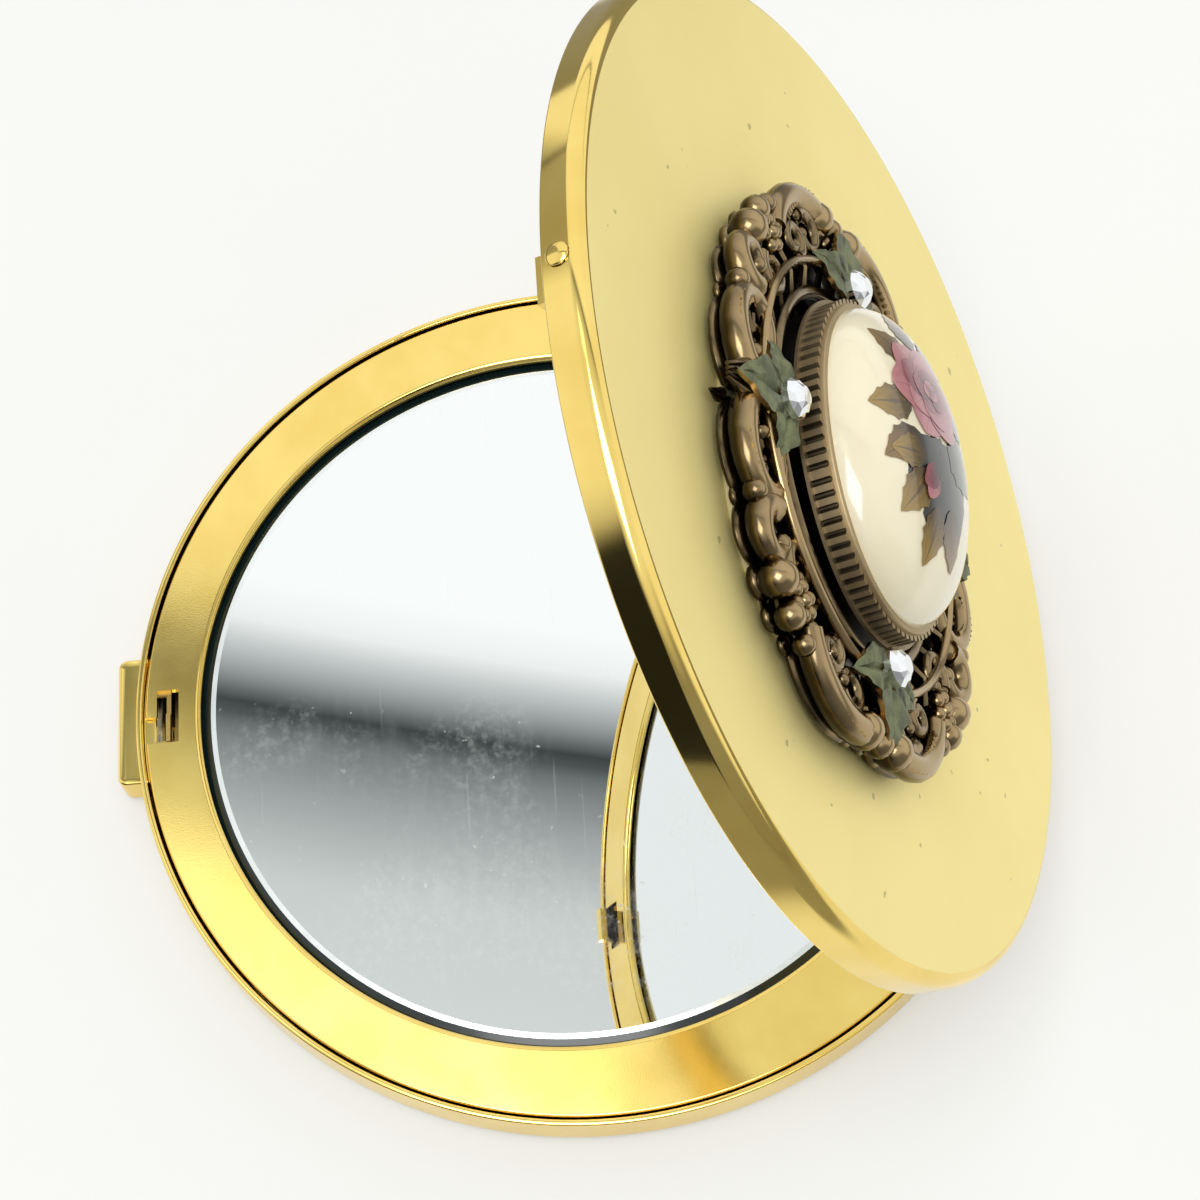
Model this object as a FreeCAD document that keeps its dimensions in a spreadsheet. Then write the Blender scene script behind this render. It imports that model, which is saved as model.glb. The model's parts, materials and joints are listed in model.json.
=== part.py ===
import FreeCAD, Part
import math
import os
import Sketcher

# A round compact: two mirrors, a push-button latch, and a porcelain cabochon in an ornament on the lid.
# Frame: +Z up, origin at the centre of the base's bottom face, button at -Y, hinge along X at +Y.
# Lid pieces are built with the lid closed, then all turned open about the hinge axis by open_angle.

doc = FreeCAD.newDocument("CompactMirror")
sheet = doc.addObject("Spreadsheet::Sheet", "Sizes")

# Driving dimensions in millimetres, angles in degrees, counts as plain numbers
SIZES = [
    ("case_radius", 35.0, "outer radius of the two drawn shells"),
    ("base_height", 4.5, "base shell, bottom face to rim"),
    ("lid_height", 2.8, "lid shell, rim to face"),
    ("parting_gap", 0.15, "gap between the closed rims"),
    ("shell_wall", 0.5, "sheet of both shells"),
    ("base_edge_radius", 1.2, "rounding between the base's bottom and wall"),
    ("lid_edge_radius", 1.0, "rounding between the lid's face and wall"),
    ("rim_chamfer", 0.15, "softened edge of each rim"),
    ("open_angle", 63.3, "lid's opening angle at rest"),
    ("cut_overrun", 1.0, "how far a cutting tool runs past the metal"),
    ("ring_groove", 0.35, "gap between shell wall and bezel ring"),
    ("ring_sheet", 0.45, "sheet of the bezel rings"),
    ("ring_width", 5.25, "bezel ring, edge to opening, at its mean"),
    ("ring_round", 0.2, "softened outer edge of the bezel ring"),
    ("lip_depth", 0.65, "bezel lip, face to its lower edge"),
    ("lip_wall", 0.6, "width of the bezel lip"),
    ("lip_round", 0.45, "rounding of the bezel lip"),
    ("mirror_offset", 1.0, "mirror centre, towards the button"),
    ("mirror_lap", 0.6, "how far the glass runs under the lip"),
    ("mirror_thickness", 1.2, "mirror glass"),
    ("glass_clearance", 0.1, "lip to glass"),
    ("bevel_width", 1.7, "ground bevel of the glass"),
    ("bevel_depth", 0.5, "drop of the ground bevel"),
    ("pad_margin", 1.5, "mirror edge to pad edge"),
    ("hinge_inset", 0.7, "hinge axis inside the case radius"),
    ("hinge_rise", 1.4, "hinge axis above the base rim"),
    ("knuckle_radius", 0.9, "rolled hinge knuckles"),
    ("pin_radius", 0.45, "hinge pin"),
    ("pin_clearance", 0.03, "knuckle bore over the pin, on radius"),
    ("hinge_length", 15.0, "all knuckles together"),
    ("lid_knuckle_length", 6.0, "middle knuckle, on the lid"),
    ("knuckle_gap", 0.12, "end play beside the middle knuckle"),
    ("leaf_sheet", 0.4, "sheet of the hinge leaves"),
    ("base_leaf_width", 12.6, "upright leaf in the base"),
    ("base_foot_reach", 3.6, "foot of the base leaf along the floor"),
    ("lid_leaf_reach", 4.6, "flat leaf under the lid"),
    ("notch_clearance", 0.4, "room round the hinge"),
    ("hinge_relief", 0.1, "hollow in the lid's underside over the knuckles"),
    ("button_length", 10.6, "push button along X"),
    ("button_drop", 0.6, "base rim to the push button's top"),
    ("button_level", 0.9, "underside of the push button"),
    ("button_reach", 1.5, "push button beyond the case"),
    ("button_round", 0.7, "rounded edges of the push button"),
    ("button_travel", 0.6, "stroke of the push button"),
    ("window_clearance", 0.15, "round the push button in its window"),
    ("flange_overlap", 0.9, "retaining flange beyond each button end"),
    ("flange_sheet", 0.25, "retaining flange"),
    ("flange_drop", 0.27, "hook's lower end to the flange's top"),
    ("bolt_sheet", 0.3, "latch bolt plate"),
    ("bolt_bar", 0.35, "bar of the bolt that holds the hook"),
    ("bar_rise", 0.35, "bent-up edge of the bar, seen in the slot"),
    ("bar_rise_length", 2.3, "bent-up edge of the bar along X"),
    ("bolt_arm", 1.6, "each arm of the bolt"),
    ("bolt_clearance", 0.1, "bolt plate to the ring above it"),
    ("catch_width", 3.2, "lid catch strip"),
    ("catch_sheet", 0.4, "lid catch strip"),
    ("catch_clearance", 0.1, "hook to bolt"),
    ("catch_bite", 0.3, "hook's tooth under the bolt's bar"),
    ("tooth_height", 0.28, "hook's tooth"),
    ("hook_inset", 0.4, "hook behind the button's back face"),
    ("hook_clearance", 0.3, "beside the hook in bolt and button"),
    ("catch_seat_gap", 0.08, "catch tab to the lid's inner wall"),
    ("slot_length", 4.4, "latch slot in each ring along X"),
    ("slot_margin", 0.2, "slot edge ahead of the hook"),
    ("bar_margin", 0.08, "pressed bar to the slot's inner edge"),
    ("nick_length", 2.2, "nick from the latch slot to the ring's edge"),
    ("rivet_radius", 0.45, "catch rivet shank"),
    ("rivet_head_radius", 0.85, "catch rivet head"),
    ("rivet_head_height", 0.4, "catch rivet head"),
    ("rivet_clearance", 0.02, "rivet in its holes, on radius"),
    ("rivet_level", 1.15, "catch rivet above the lid's rim"),
    ("spring_sheet", 0.2, "button's leaf spring"),
    ("spring_height", 1.1, "button's leaf spring"),
    ("spring_sag", 0.7, "bow of the leaf spring"),
    ("spring_half_span", 6.2, "leaf spring, middle to end"),
    ("seat_gap", 0.03, "leaf spring to its seats"),
    ("guide_post_width", 1.2, "post behind each spring end"),
    ("guide_post_depth", 0.7, "post behind each spring end"),
    ("guide_height", 1.9, "posts above the base's floor"),
    ("guide_sheet", 0.4, "strip that joins the posts"),
    ("ornament_offset", 2.7, "ornament centre beside the lid's centre, along X"),
    ("ornament_setback", -4.5, "ornament centre from the lid's centre, along Y"),
    ("glue_sheet", 0.3, "adhesive under the ornament"),
    ("glue_half_length", 16.4, "adhesive oval along X"),
    ("glue_half_width", 14.4, "adhesive oval along Y"),
    ("glue_bulge_radius", 10.3, "adhesive squeezed out on one side"),
    ("glue_bulge_x", 5.55, "centre of the squeezed-out part"),
    ("glue_bulge_y", -4.4, "centre of the squeezed-out part"),
    ("filigree_radius", 19.85, "reach of the filigree lobes"),
    ("lobe_reach_ends", 3.4, "lobes beyond the pierced oval field along X"),
    ("lobe_reach_sides", 5.0, "lobes beyond the pierced oval field along Y"),
    ("filigree_sheet", 0.7, "each pierced stamping"),
    ("filigree_gap", 0.9, "between the two stampings"),
    ("filigree_hub_share", 0.62, "hub between the stampings, share of the field"),
    ("wire_margin_ends", 3.65, "cabochon to the oval wire along X"),
    ("wire_margin_sides", 4.95, "cabochon to the oval wire along Y"),
    ("wire_width", 0.8, "oval wire"),
    ("wire_rise", 1.2, "oval wire above the stamping"),
    ("cabochon_half_length", 11.2, "cabochon along X"),
    ("cabochon_half_width", 8.45, "cabochon along Y"),
    ("cabochon_girdle", 0.7, "straight side of the cabochon"),
    ("cabochon_dome", 4.4, "dome above the girdle"),
    ("cabochon_clearance", 0.05, "cabochon in its setting"),
    ("setting_floor", 1.2, "floor of the setting"),
    ("setting_wall", 0.45, "smooth bezel wall"),
    ("setting_wall_height", 0.85, "bezel wall above the floor"),
    ("flute_height", 1.55, "fluted band round the setting"),
    ("flute_depth", 0.28, "depth of the flutes"),
    ("flute_count", 84, "flutes round the setting"),
    ("setting_foot_width", 0.85, "foot of the setting beyond the cabochon"),
    ("setting_foot_height", 0.3, "foot of the setting"),
    ("post_radius", 1.2, "rivet that holds the ornament together"),
    ("post_head_radius", 2.0, "head of that rivet"),
    ("post_head_height", 0.3, "head of that rivet"),
    ("sprig_margin_ends", 2.65, "cabochon to the middle of the sprigs along X"),
    ("sprig_margin_sides", 3.2, "cabochon to the middle of the sprigs along Y"),
    ("sprig_sheet", 0.4, "leaf sprigs"),
    ("leaf_length", 5.0, "one leaf of a sprig"),
    ("leaf_width", 3.2, "one leaf of a sprig"),
    ("stone_radius", 1.35, "rhinestone at its girdle"),
    ("stone_height", 1.1, "rhinestone"),
]
for row, (alias, value, meaning) in enumerate(SIZES, start=1):
    sheet.set("A%d" % row, meaning)
    sheet.set("B%d" % row, str(value))
    sheet.setAlias("B%d" % row, alias)
doc.recompute()


def size(text):
    """The number that an expression over the sheet stands for."""
    value = sheet.evalExpression(text)
    return float(getattr(value, "Value", value))


# Heights and places that several pieces share, as expressions over the sheet
INNER_RADIUS = "(Sizes.case_radius - Sizes.shell_wall)"
RING_RADIUS = "(Sizes.case_radius - Sizes.shell_wall - Sizes.ring_groove)"
OPENING_RADIUS = "(%s - Sizes.ring_width)" % RING_RADIUS
MIRROR_RADIUS = "(%s + Sizes.mirror_lap)" % OPENING_RADIUS
MIRROR_RECESS = "(Sizes.lip_depth + Sizes.glass_clearance)"
LID_BOTTOM = "(Sizes.base_height + Sizes.parting_gap)"
LID_TOP = "(Sizes.base_height + Sizes.parting_gap + Sizes.lid_height)"
LID_CEILING = "(Sizes.base_height + Sizes.parting_gap + Sizes.lid_height - Sizes.shell_wall)"
HINGE_Y = "(Sizes.case_radius - Sizes.hinge_inset)"
HINGE_Z = "(Sizes.base_height + Sizes.hinge_rise)"
LEAF_Y = "(Sizes.case_radius - Sizes.hinge_inset - Sizes.knuckle_radius)"
NOTCH_Y = "(Sizes.case_radius - Sizes.hinge_inset - Sizes.knuckle_radius - Sizes.notch_clearance)"
NOTCH_HALF = "(Sizes.hinge_length / 2 + Sizes.notch_clearance)"

# The latch line, front to back, as distances from the centre towards the button
FLANGE_HALF = "(Sizes.button_length / 2 + Sizes.flange_overlap)"
FLANGE_FRONT = "(sqrt(%s^2 - %s^2) - Sizes.window_clearance)" % (INNER_RADIUS, FLANGE_HALF)
FLANGE_BACK = "(%s - Sizes.flange_sheet)" % FLANGE_FRONT
HOOK_FRONT = "(%s - Sizes.hook_inset)" % FLANGE_BACK
HOOK_BACK = "(%s - Sizes.catch_sheet)" % HOOK_FRONT
BAR_FRONT = "(%s - Sizes.catch_clearance)" % HOOK_BACK
BAR_BACK = "(%s - Sizes.bolt_bar)" % BAR_FRONT
TOOTH_BACK = "(%s - Sizes.catch_bite)" % BAR_FRONT
SLOT_FRONT = "(%s + Sizes.slot_margin)" % HOOK_FRONT
SLOT_BACK = "(%s - Sizes.button_travel - Sizes.bar_margin)" % BAR_BACK
HOOK_ROOM_HALF = "(Sizes.catch_width / 2 + Sizes.hook_clearance)"
SPRING_FRONT = "(%s - Sizes.seat_gap)" % FLANGE_BACK
POST_FRONT = "(%s - Sizes.spring_sag - Sizes.spring_sheet - Sizes.seat_gap)" % SPRING_FRONT

# The latch line's heights
BUTTON_HEIGHT = "(Sizes.base_height - Sizes.button_drop - Sizes.button_level)"
BOLT_LEVEL = "(Sizes.base_height - Sizes.ring_sheet - Sizes.bolt_clearance - Sizes.bolt_sheet)"
TOOTH_TOP = "(%s - Sizes.catch_clearance)" % BOLT_LEVEL
HOOK_LOW = "(%s - Sizes.tooth_height)" % TOOTH_TOP
FLANGE_HEIGHT = "(%s - Sizes.flange_drop - Sizes.button_level)" % HOOK_LOW

# The ornament's layers, as heights in the closed frame
GLUE_TOP = "(%s + Sizes.glue_sheet)" % LID_TOP
LOWER_TOP = "(%s + Sizes.filigree_sheet)" % GLUE_TOP
UPPER_BOTTOM = "(%s + Sizes.filigree_gap)" % LOWER_TOP
UPPER_TOP = "(%s + Sizes.filigree_sheet)" % UPPER_BOTTOM
SETTING_FLOOR = "(%s + Sizes.setting_floor)" % UPPER_TOP
SPRIG_BOTTOM = "(%s + Sizes.wire_rise)" % UPPER_TOP
SPRIG_TOP = "(%s + Sizes.sprig_sheet)" % SPRIG_BOTTOM

nodes = []


def node(piece, label, placement=None):
    """Names a finished sub-part and sets it in its place."""
    piece.Label = label
    if placement is not None:
        piece.Placement = placement
    nodes.append(piece)
    return piece


def box(name, low, extent):
    """A block from its low corner and its extent, both given as expressions."""
    block = doc.addObject("Part::Box", name)
    for side, text in zip(("Length", "Width", "Height"), extent):
        block.setExpression(side, text)
    for axis, text in zip("xyz", low):
        block.setExpression("Placement.Base." + axis, text)
    return block


def middle_box(name, half_x, low_y, low_z, depth, height):
    """A block that lies evenly about X = 0."""
    return box(name, ("0 - " + half_x, low_y, low_z), ("2 * " + half_x, depth, height))


def cylinder(name, radius, height, start, turn=None):
    """A round bar from a start point, along Z or turned to another axis."""
    bar = doc.addObject("Part::Cylinder", name)
    if turn is not None:
        bar.Placement = FreeCAD.Placement(FreeCAD.Vector(), turn)
    bar.setExpression("Radius", radius)
    bar.setExpression("Height", height)
    for axis, text in zip("xyz", start):
        bar.setExpression("Placement.Base." + axis, text)
    return bar


ALONG_X = FreeCAD.Rotation(FreeCAD.Vector(0, 1, 0), 90)
ALONG_Y = FreeCAD.Rotation(FreeCAD.Vector(1, 0, 0), -90)
FLIP = FreeCAD.Rotation(FreeCAD.Vector(0, 1, 0), 180)


def oval(name, half_length, half_width, height, start):
    """An upright oval plate with its long axis along X."""
    outline = doc.addObject("Part::Ellipse", name + "_outline")
    outline.setExpression("MajorRadius", half_length)
    outline.setExpression("MinorRadius", half_width)
    plate = doc.addObject("Part::Extrusion", name)
    plate.Base = outline
    plate.DirMode = "Custom"
    plate.Dir = FreeCAD.Vector(0, 0, 1)
    plate.Solid = True
    plate.setExpression("LengthFwd", height)
    for axis, text in zip("xyz", start):
        plate.setExpression("Placement.Base." + axis, text)
    return plate


def fuse(name, pieces):
    """Several pieces joined into one solid."""
    joined = doc.addObject("Part::MultiFuse", name)
    joined.Shapes = pieces
    joined.Refine = True
    return joined


def cut(name, base, tools):
    """A piece with tools taken away from it."""
    remainder = doc.addObject("Part::Cut", name)
    remainder.Base = base
    remainder.Tool = tools[0] if len(tools) == 1 else fuse(name + "_tools", tools)
    remainder.Refine = True
    return remainder


def new_body(name):
    return doc.addObject("PartDesign::Body", name)


def plane_sketch(body, name, role, lift=None):
    """A sketch on one of the body's own planes, lifted along its normal."""
    plane = [item for item in body.Origin.OriginFeatures if item.Role == role][0]
    sketch = body.newObject("Sketcher::SketchObject", name)
    sketch.AttachmentSupport = (plane, [""])
    sketch.MapMode = "FlatFace"
    if lift is not None:
        sketch.setExpression("AttachmentOffset.Base.z", lift)
    return sketch


def bind(sketch, constraint, name, text):
    """A constraint that takes its value from an expression."""
    index = sketch.addConstraint(constraint)
    sketch.renameConstraint(index, name)
    sketch.setExpression("Constraints." + name, text)


def outline(sketch, corners):
    """A closed outline of straight runs, each corner given as two expressions."""
    points = [FreeCAD.Vector(size(x), size(y), 0) for x, y in corners]
    count = len(points)
    for index in range(count):
        sketch.addGeometry(Part.LineSegment(points[index], points[(index + 1) % count]))
    for index in range(count):
        sketch.addConstraint(Sketcher.Constraint("Coincident", index, 2, (index + 1) % count, 1))
    for index, (x, y) in enumerate(corners):
        if x == "0":
            sketch.addConstraint(Sketcher.Constraint("PointOnObject", index, 1, -2))
        else:
            across = Sketcher.Constraint("DistanceX", -1, 1, index, 1, points[index].x)
            bind(sketch, across, "across%d" % index, x)
        if y == "0":
            sketch.addConstraint(Sketcher.Constraint("PointOnObject", index, 1, -1))
        else:
            up = Sketcher.Constraint("DistanceY", -1, 1, index, 1, points[index].y)
            bind(sketch, up, "up%d" % index, y)


def circle(sketch, name, radius, back=None):
    """A circle about the origin, or set back from it along the sketch's vertical axis."""
    centre = FreeCAD.Vector(0, 0 if back is None else size(back), 0)
    index = sketch.addGeometry(Part.Circle(centre, FreeCAD.Vector(0, 0, 1), size(radius)))
    bind(sketch, Sketcher.Constraint("Radius", index, size(radius)), name + "_radius", radius)
    if back is None:
        sketch.addConstraint(Sketcher.Constraint("Coincident", index, 3, -1, 1))
    else:
        sketch.addConstraint(Sketcher.Constraint("PointOnObject", index, 3, -2))
        bind(sketch, Sketcher.Constraint("DistanceY", -1, 1, index, 3, size(back)), name + "_back", back)


def revolve(body, sketch, name):
    turned = body.newObject("PartDesign::Revolution", name)
    turned.Profile = sketch
    turned.ReferenceAxis = (sketch, ["V_Axis"])
    turned.Angle = 360
    doc.recompute()
    return turned


def round_edges(body, feature, name, radius, edges):
    """Rounds the circular edges of a feature that have a given radius and height."""
    found = []
    for edge_radius, level in edges:
        for index, edge in enumerate(feature.Shape.Edges, start=1):
            if not isinstance(edge.Curve, Part.Circle):
                continue
            same_radius = math.isclose(edge.Curve.Radius, size(edge_radius), rel_tol=1e-6)
            if same_radius and math.isclose(edge.Curve.Center.z, size(level), abs_tol=1e-6):
                found.append("Edge%d" % index)
    rounded = body.newObject("PartDesign::Fillet", name)
    rounded.Base = (feature, found)
    rounded.setExpression("Radius", radius)
    doc.recompute()
    return rounded


# Where lid pieces go: closed places turned about the hinge axis
hinge_point = FreeCAD.Vector(0, size(HINGE_Y), size(HINGE_Z))
opening_turn = FreeCAD.Rotation(FreeCAD.Vector(-1, 0, 0), size("Sizes.open_angle"))
OPENED = FreeCAD.Placement(FreeCAD.Vector(), opening_turn, hinge_point)


def upright_at(y, z):
    """Place for a base piece that is drawn about its own origin."""
    return FreeCAD.Placement(FreeCAD.Vector(0, size(y), size(z)), FreeCAD.Rotation())


def flipped_at(y, z):
    """Place for a lid piece that is drawn like its base twin and lies face down on the closed case."""
    return OPENED.multiply(FreeCAD.Placement(FreeCAD.Vector(0, size(y), size(z)), FLIP))


def shell(name, height, edge_radius):
    """A drawn cup: flat floor, round corner, upright wall with a softened rim."""
    body = new_body(name)
    profile = plane_sketch(body, name + "_profile", "XZ_Plane")
    outline(profile, [
        ("0", "0"),
        ("Sizes.case_radius", "0"),
        ("Sizes.case_radius", height + " - Sizes.rim_chamfer"),
        ("Sizes.case_radius - Sizes.rim_chamfer", height),
        (INNER_RADIUS + " + Sizes.rim_chamfer", height),
        (INNER_RADIUS, height + " - Sizes.rim_chamfer"),
        (INNER_RADIUS, "Sizes.shell_wall"),
        ("0", "Sizes.shell_wall"),
    ])
    cup = revolve(body, profile, name + "_cup")
    corner = round_edges(body, cup, name + "_corner", edge_radius, [("Sizes.case_radius", "0")])
    inner_radius = "%s - Sizes.shell_wall" % edge_radius
    round_edges(body, corner, name + "_inner", inner_radius, [(INNER_RADIUS, "Sizes.shell_wall")])
    return body


# Base shell: drawn cup with the window for the push button in its front wall
base_cup = shell("base_cup", "Sizes.base_height", "Sizes.base_edge_radius")
window = middle_box(
    "button_window", "(Sizes.button_length / 2 + Sizes.window_clearance)",
    "0 - Sizes.case_radius - Sizes.cut_overrun", "Sizes.button_level - Sizes.window_clearance",
    "Sizes.case_radius - sqrt(%s^2 - %s^2) + 2 * Sizes.cut_overrun" % (INNER_RADIUS, FLANGE_HALF),
    BUTTON_HEIGHT + " + 2 * Sizes.window_clearance")
node(cut("base_cup_open", base_cup, [window]), "base_shell")

# Lid shell: drawn cup with a hinge notch in its back wall and a rivet hole in its front wall
lid_cup = shell("lid_cup", "Sizes.lid_height", "Sizes.lid_edge_radius")
lid_notch = middle_box(
    "lid_notch", NOTCH_HALF, NOTCH_Y, "Sizes.shell_wall - Sizes.hinge_relief",
    "Sizes.case_radius - %s + Sizes.cut_overrun" % NOTCH_Y, "Sizes.lid_height")
rivet_hole = cylinder(
    "lid_rivet_hole", "Sizes.rivet_radius + Sizes.rivet_clearance",
    "Sizes.shell_wall + 2 * Sizes.cut_overrun",
    ("0", "0 - Sizes.case_radius - Sizes.cut_overrun", "Sizes.lid_height - Sizes.rivet_level"), ALONG_Y)
node(cut("lid_cup_open", lid_cup, [lid_notch, rivet_hole]), "lid_shell", flipped_at("0", LID_TOP))


def bezel_ring(name, skirt_depth):
    """A pressed bezel: flat face at Z = 0, rounded lip round the glass, skirt to the shell, latch slot."""
    body = new_body(name)
    mirror_back = "0 - Sizes.mirror_offset"
    face = plane_sketch(body, name + "_face", "XY_Plane")
    circle(face, "edge", RING_RADIUS)
    circle(face, "opening", OPENING_RADIUS, mirror_back)
    plate = body.newObject("PartDesign::Pad", name + "_plate")
    plate.Profile = face
    plate.Reversed = True
    plate.setExpression("Length", "Sizes.lip_depth")
    doc.recompute()
    solid_volume = plate.Shape.Volume

    under = plane_sketch(body, name + "_under", "XY_Plane", "0 - Sizes.lip_depth")
    circle(under, "skirt", RING_RADIUS + " - Sizes.ring_sheet")
    circle(under, "lip", OPENING_RADIUS + " + Sizes.lip_wall", mirror_back)
    hollow = body.newObject("PartDesign::Pocket", name + "_hollow")
    hollow.Profile = under
    hollow.Reversed = True
    hollow.setExpression("Length", "Sizes.lip_depth - Sizes.ring_sheet")
    doc.recompute()
    if hollow.Shape.Volume >= solid_volume:
        raise RuntimeError(name + ": the underside was not hollowed")

    edge = plane_sketch(body, name + "_edge", "XY_Plane", "0 - Sizes.ring_sheet")
    circle(edge, "outside", RING_RADIUS)
    circle(edge, "inside", RING_RADIUS + " - Sizes.ring_sheet")
    skirt = body.newObject("PartDesign::Pad", name + "_skirt")
    skirt.Profile = edge
    skirt.Reversed = True
    skirt.setExpression("Length", skirt_depth + " - Sizes.ring_sheet")
    doc.recompute()
    lip = round_edges(body, skirt, name + "_lip", "Sizes.lip_round", [(OPENING_RADIUS, "0")])
    round_edges(body, lip, name + "_rim", "Sizes.ring_round", [(RING_RADIUS, "0")])

    bottom = "0 - %s - Sizes.cut_overrun" % skirt_depth
    through = skirt_depth + " + 2 * Sizes.cut_overrun"
    plate_bottom = "0 - Sizes.lip_depth - Sizes.cut_overrun"
    plate_through = "Sizes.lip_depth + 2 * Sizes.cut_overrun"
    hinge_notch = middle_box(
        name + "_hinge_notch", NOTCH_HALF, NOTCH_Y, bottom,
        "Sizes.case_radius - " + NOTCH_Y, through)
    slot = middle_box(
        name + "_slot", "Sizes.slot_length / 2", "0 - " + SLOT_FRONT, plate_bottom,
        "%s - %s" % (SLOT_FRONT, SLOT_BACK), plate_through)
    nick = box(
        name + "_nick",
        ("0", "0 - Sizes.case_radius", plate_bottom),
        ("Sizes.nick_length", "Sizes.case_radius - %s + Sizes.slot_margin" % SLOT_FRONT, plate_through))
    gap_half = "(%s + Sizes.notch_clearance)" % FLANGE_HALF
    gap_depth = "Sizes.case_radius - sqrt((%s - 2 * Sizes.ring_sheet)^2 - %s^2)" % (RING_RADIUS, gap_half)
    skirt_gap = middle_box(
        name + "_skirt_gap", gap_half, "0 - Sizes.case_radius", bottom,
        gap_depth, skirt_depth + " - Sizes.ring_sheet + Sizes.cut_overrun")
    return cut(name + "_pierced", body, [hinge_notch, slot, nick, skirt_gap])


def skirt_depth(height, edge_radius):
    """How deep a ring's skirt reaches before it meets the rounded inside corner of its shell."""
    inner = "(%s - Sizes.shell_wall)" % edge_radius
    run = "max(%s - Sizes.ring_groove; 0)" % inner
    return "(%s - Sizes.shell_wall - %s + sqrt(%s^2 - %s^2) - Sizes.seat_gap)" % (height, inner, inner, run)


# Bezel rings: the same pressing twice, with a taller skirt in the base
base_skirt = skirt_depth("Sizes.base_height", "Sizes.base_edge_radius")
lid_skirt = skirt_depth("Sizes.lid_height", "Sizes.lid_edge_radius")
node(bezel_ring("base_bezel", base_skirt), "base_ring", upright_at("0", "Sizes.base_height"))
node(bezel_ring("lid_bezel", lid_skirt), "lid_ring", flipped_at("0", LID_BOTTOM))


def mirror_glass(name):
    """A round glass with a ground bevel, its face at Z = 0."""
    body = new_body(name)
    profile = plane_sketch(body, name + "_profile", "XZ_Plane")
    outline(profile, [
        ("0", "0"),
        (MIRROR_RADIUS + " - Sizes.bevel_width", "0"),
        (MIRROR_RADIUS, "0 - Sizes.bevel_depth"),
        (MIRROR_RADIUS, "0 - Sizes.mirror_thickness"),
        ("0", "0 - Sizes.mirror_thickness"),
    ])
    revolve(body, profile, name + "_disc")
    return body


# Mirrors and the pads that carry them on the shells' floors
mirror_y = "0 - Sizes.mirror_offset"
base_mirror_z = "Sizes.base_height - " + MIRROR_RECESS
lid_mirror_z = "%s + %s" % (LID_BOTTOM, MIRROR_RECESS)
node(mirror_glass("base_glass"), "base_mirror", upright_at(mirror_y, base_mirror_z))
node(mirror_glass("lid_glass"), "lid_mirror", flipped_at(mirror_y, lid_mirror_z))
pad_radius = MIRROR_RADIUS + " - Sizes.pad_margin"
base_pad_height = "Sizes.base_height - Sizes.shell_wall - %s - Sizes.mirror_thickness" % MIRROR_RECESS
lid_pad_height = "Sizes.lid_height - Sizes.shell_wall - %s - Sizes.mirror_thickness" % MIRROR_RECESS
base_pad = cylinder("base_pad", pad_radius, base_pad_height, ("0", mirror_y, "Sizes.shell_wall"))
node(base_pad, "base_mirror_pad")
lid_pad = doc.addObject("Part::Cylinder", "lid_pad")
lid_pad.setExpression("Radius", pad_radius)
lid_pad.setExpression("Height", lid_pad_height)
node(lid_pad, "lid_mirror_pad", flipped_at(mirror_y, LID_CEILING))


def hinge_bar(name, radius, start, length):
    """A bar on the hinge axis."""
    return cylinder(name, radius, length, (start, HINGE_Y, HINGE_Z), ALONG_X)


# Base hinge leaf: upright strip on a foot, with two outer knuckles
bore_radius = "Sizes.pin_radius + Sizes.pin_clearance"
half_barrel = "Sizes.hinge_length / 2"
middle_half = "(Sizes.lid_knuckle_length / 2 + Sizes.knuckle_gap)"
outer_length = "%s - %s" % (half_barrel, middle_half)
left_knuckle = hinge_bar("left_knuckle", "Sizes.knuckle_radius", "0 - " + half_barrel, outer_length)
right_knuckle = hinge_bar("right_knuckle", "Sizes.knuckle_radius", middle_half, outer_length)
upright = middle_box(
    "base_leaf_upright", "Sizes.base_leaf_width / 2", LEAF_Y, "Sizes.shell_wall",
    "Sizes.leaf_sheet", HINGE_Z + " - Sizes.shell_wall")
foot = middle_box(
    "base_leaf_foot", "Sizes.base_leaf_width / 2", LEAF_Y + " - Sizes.base_foot_reach", "Sizes.shell_wall",
    "Sizes.base_foot_reach + Sizes.leaf_sheet", "Sizes.leaf_sheet")
middle_room = middle_box(
    "middle_room", middle_half, NOTCH_Y, HINGE_Z + " - Sizes.knuckle_radius - Sizes.window_clearance",
    "Sizes.notch_clearance + 2 * Sizes.knuckle_radius", "2 * Sizes.knuckle_radius + Sizes.cut_overrun")
base_bore = hinge_bar(
    "base_bore", bore_radius, "0 - %s - Sizes.cut_overrun" % half_barrel,
    "Sizes.hinge_length + 2 * Sizes.cut_overrun")
corner_height = "Sizes.base_edge_radius - Sizes.shell_wall"
floor_radius = "%s - (%s) - Sizes.seat_gap" % (INNER_RADIUS, corner_height)
corner_start = ("0", "0", "Sizes.shell_wall")
corner_outside = cylinder("corner_outside", "Sizes.case_radius", corner_height, corner_start)
corner_inside = cylinder("corner_inside", floor_radius, corner_height, corner_start)
corner_room = cut("corner_room", corner_outside, [corner_inside])
base_leaf = fuse("base_leaf", [left_knuckle, right_knuckle, upright, foot])
node(cut("base_leaf_bored", base_leaf, [middle_room, base_bore, corner_room]), "base_hinge_leaf")

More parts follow.
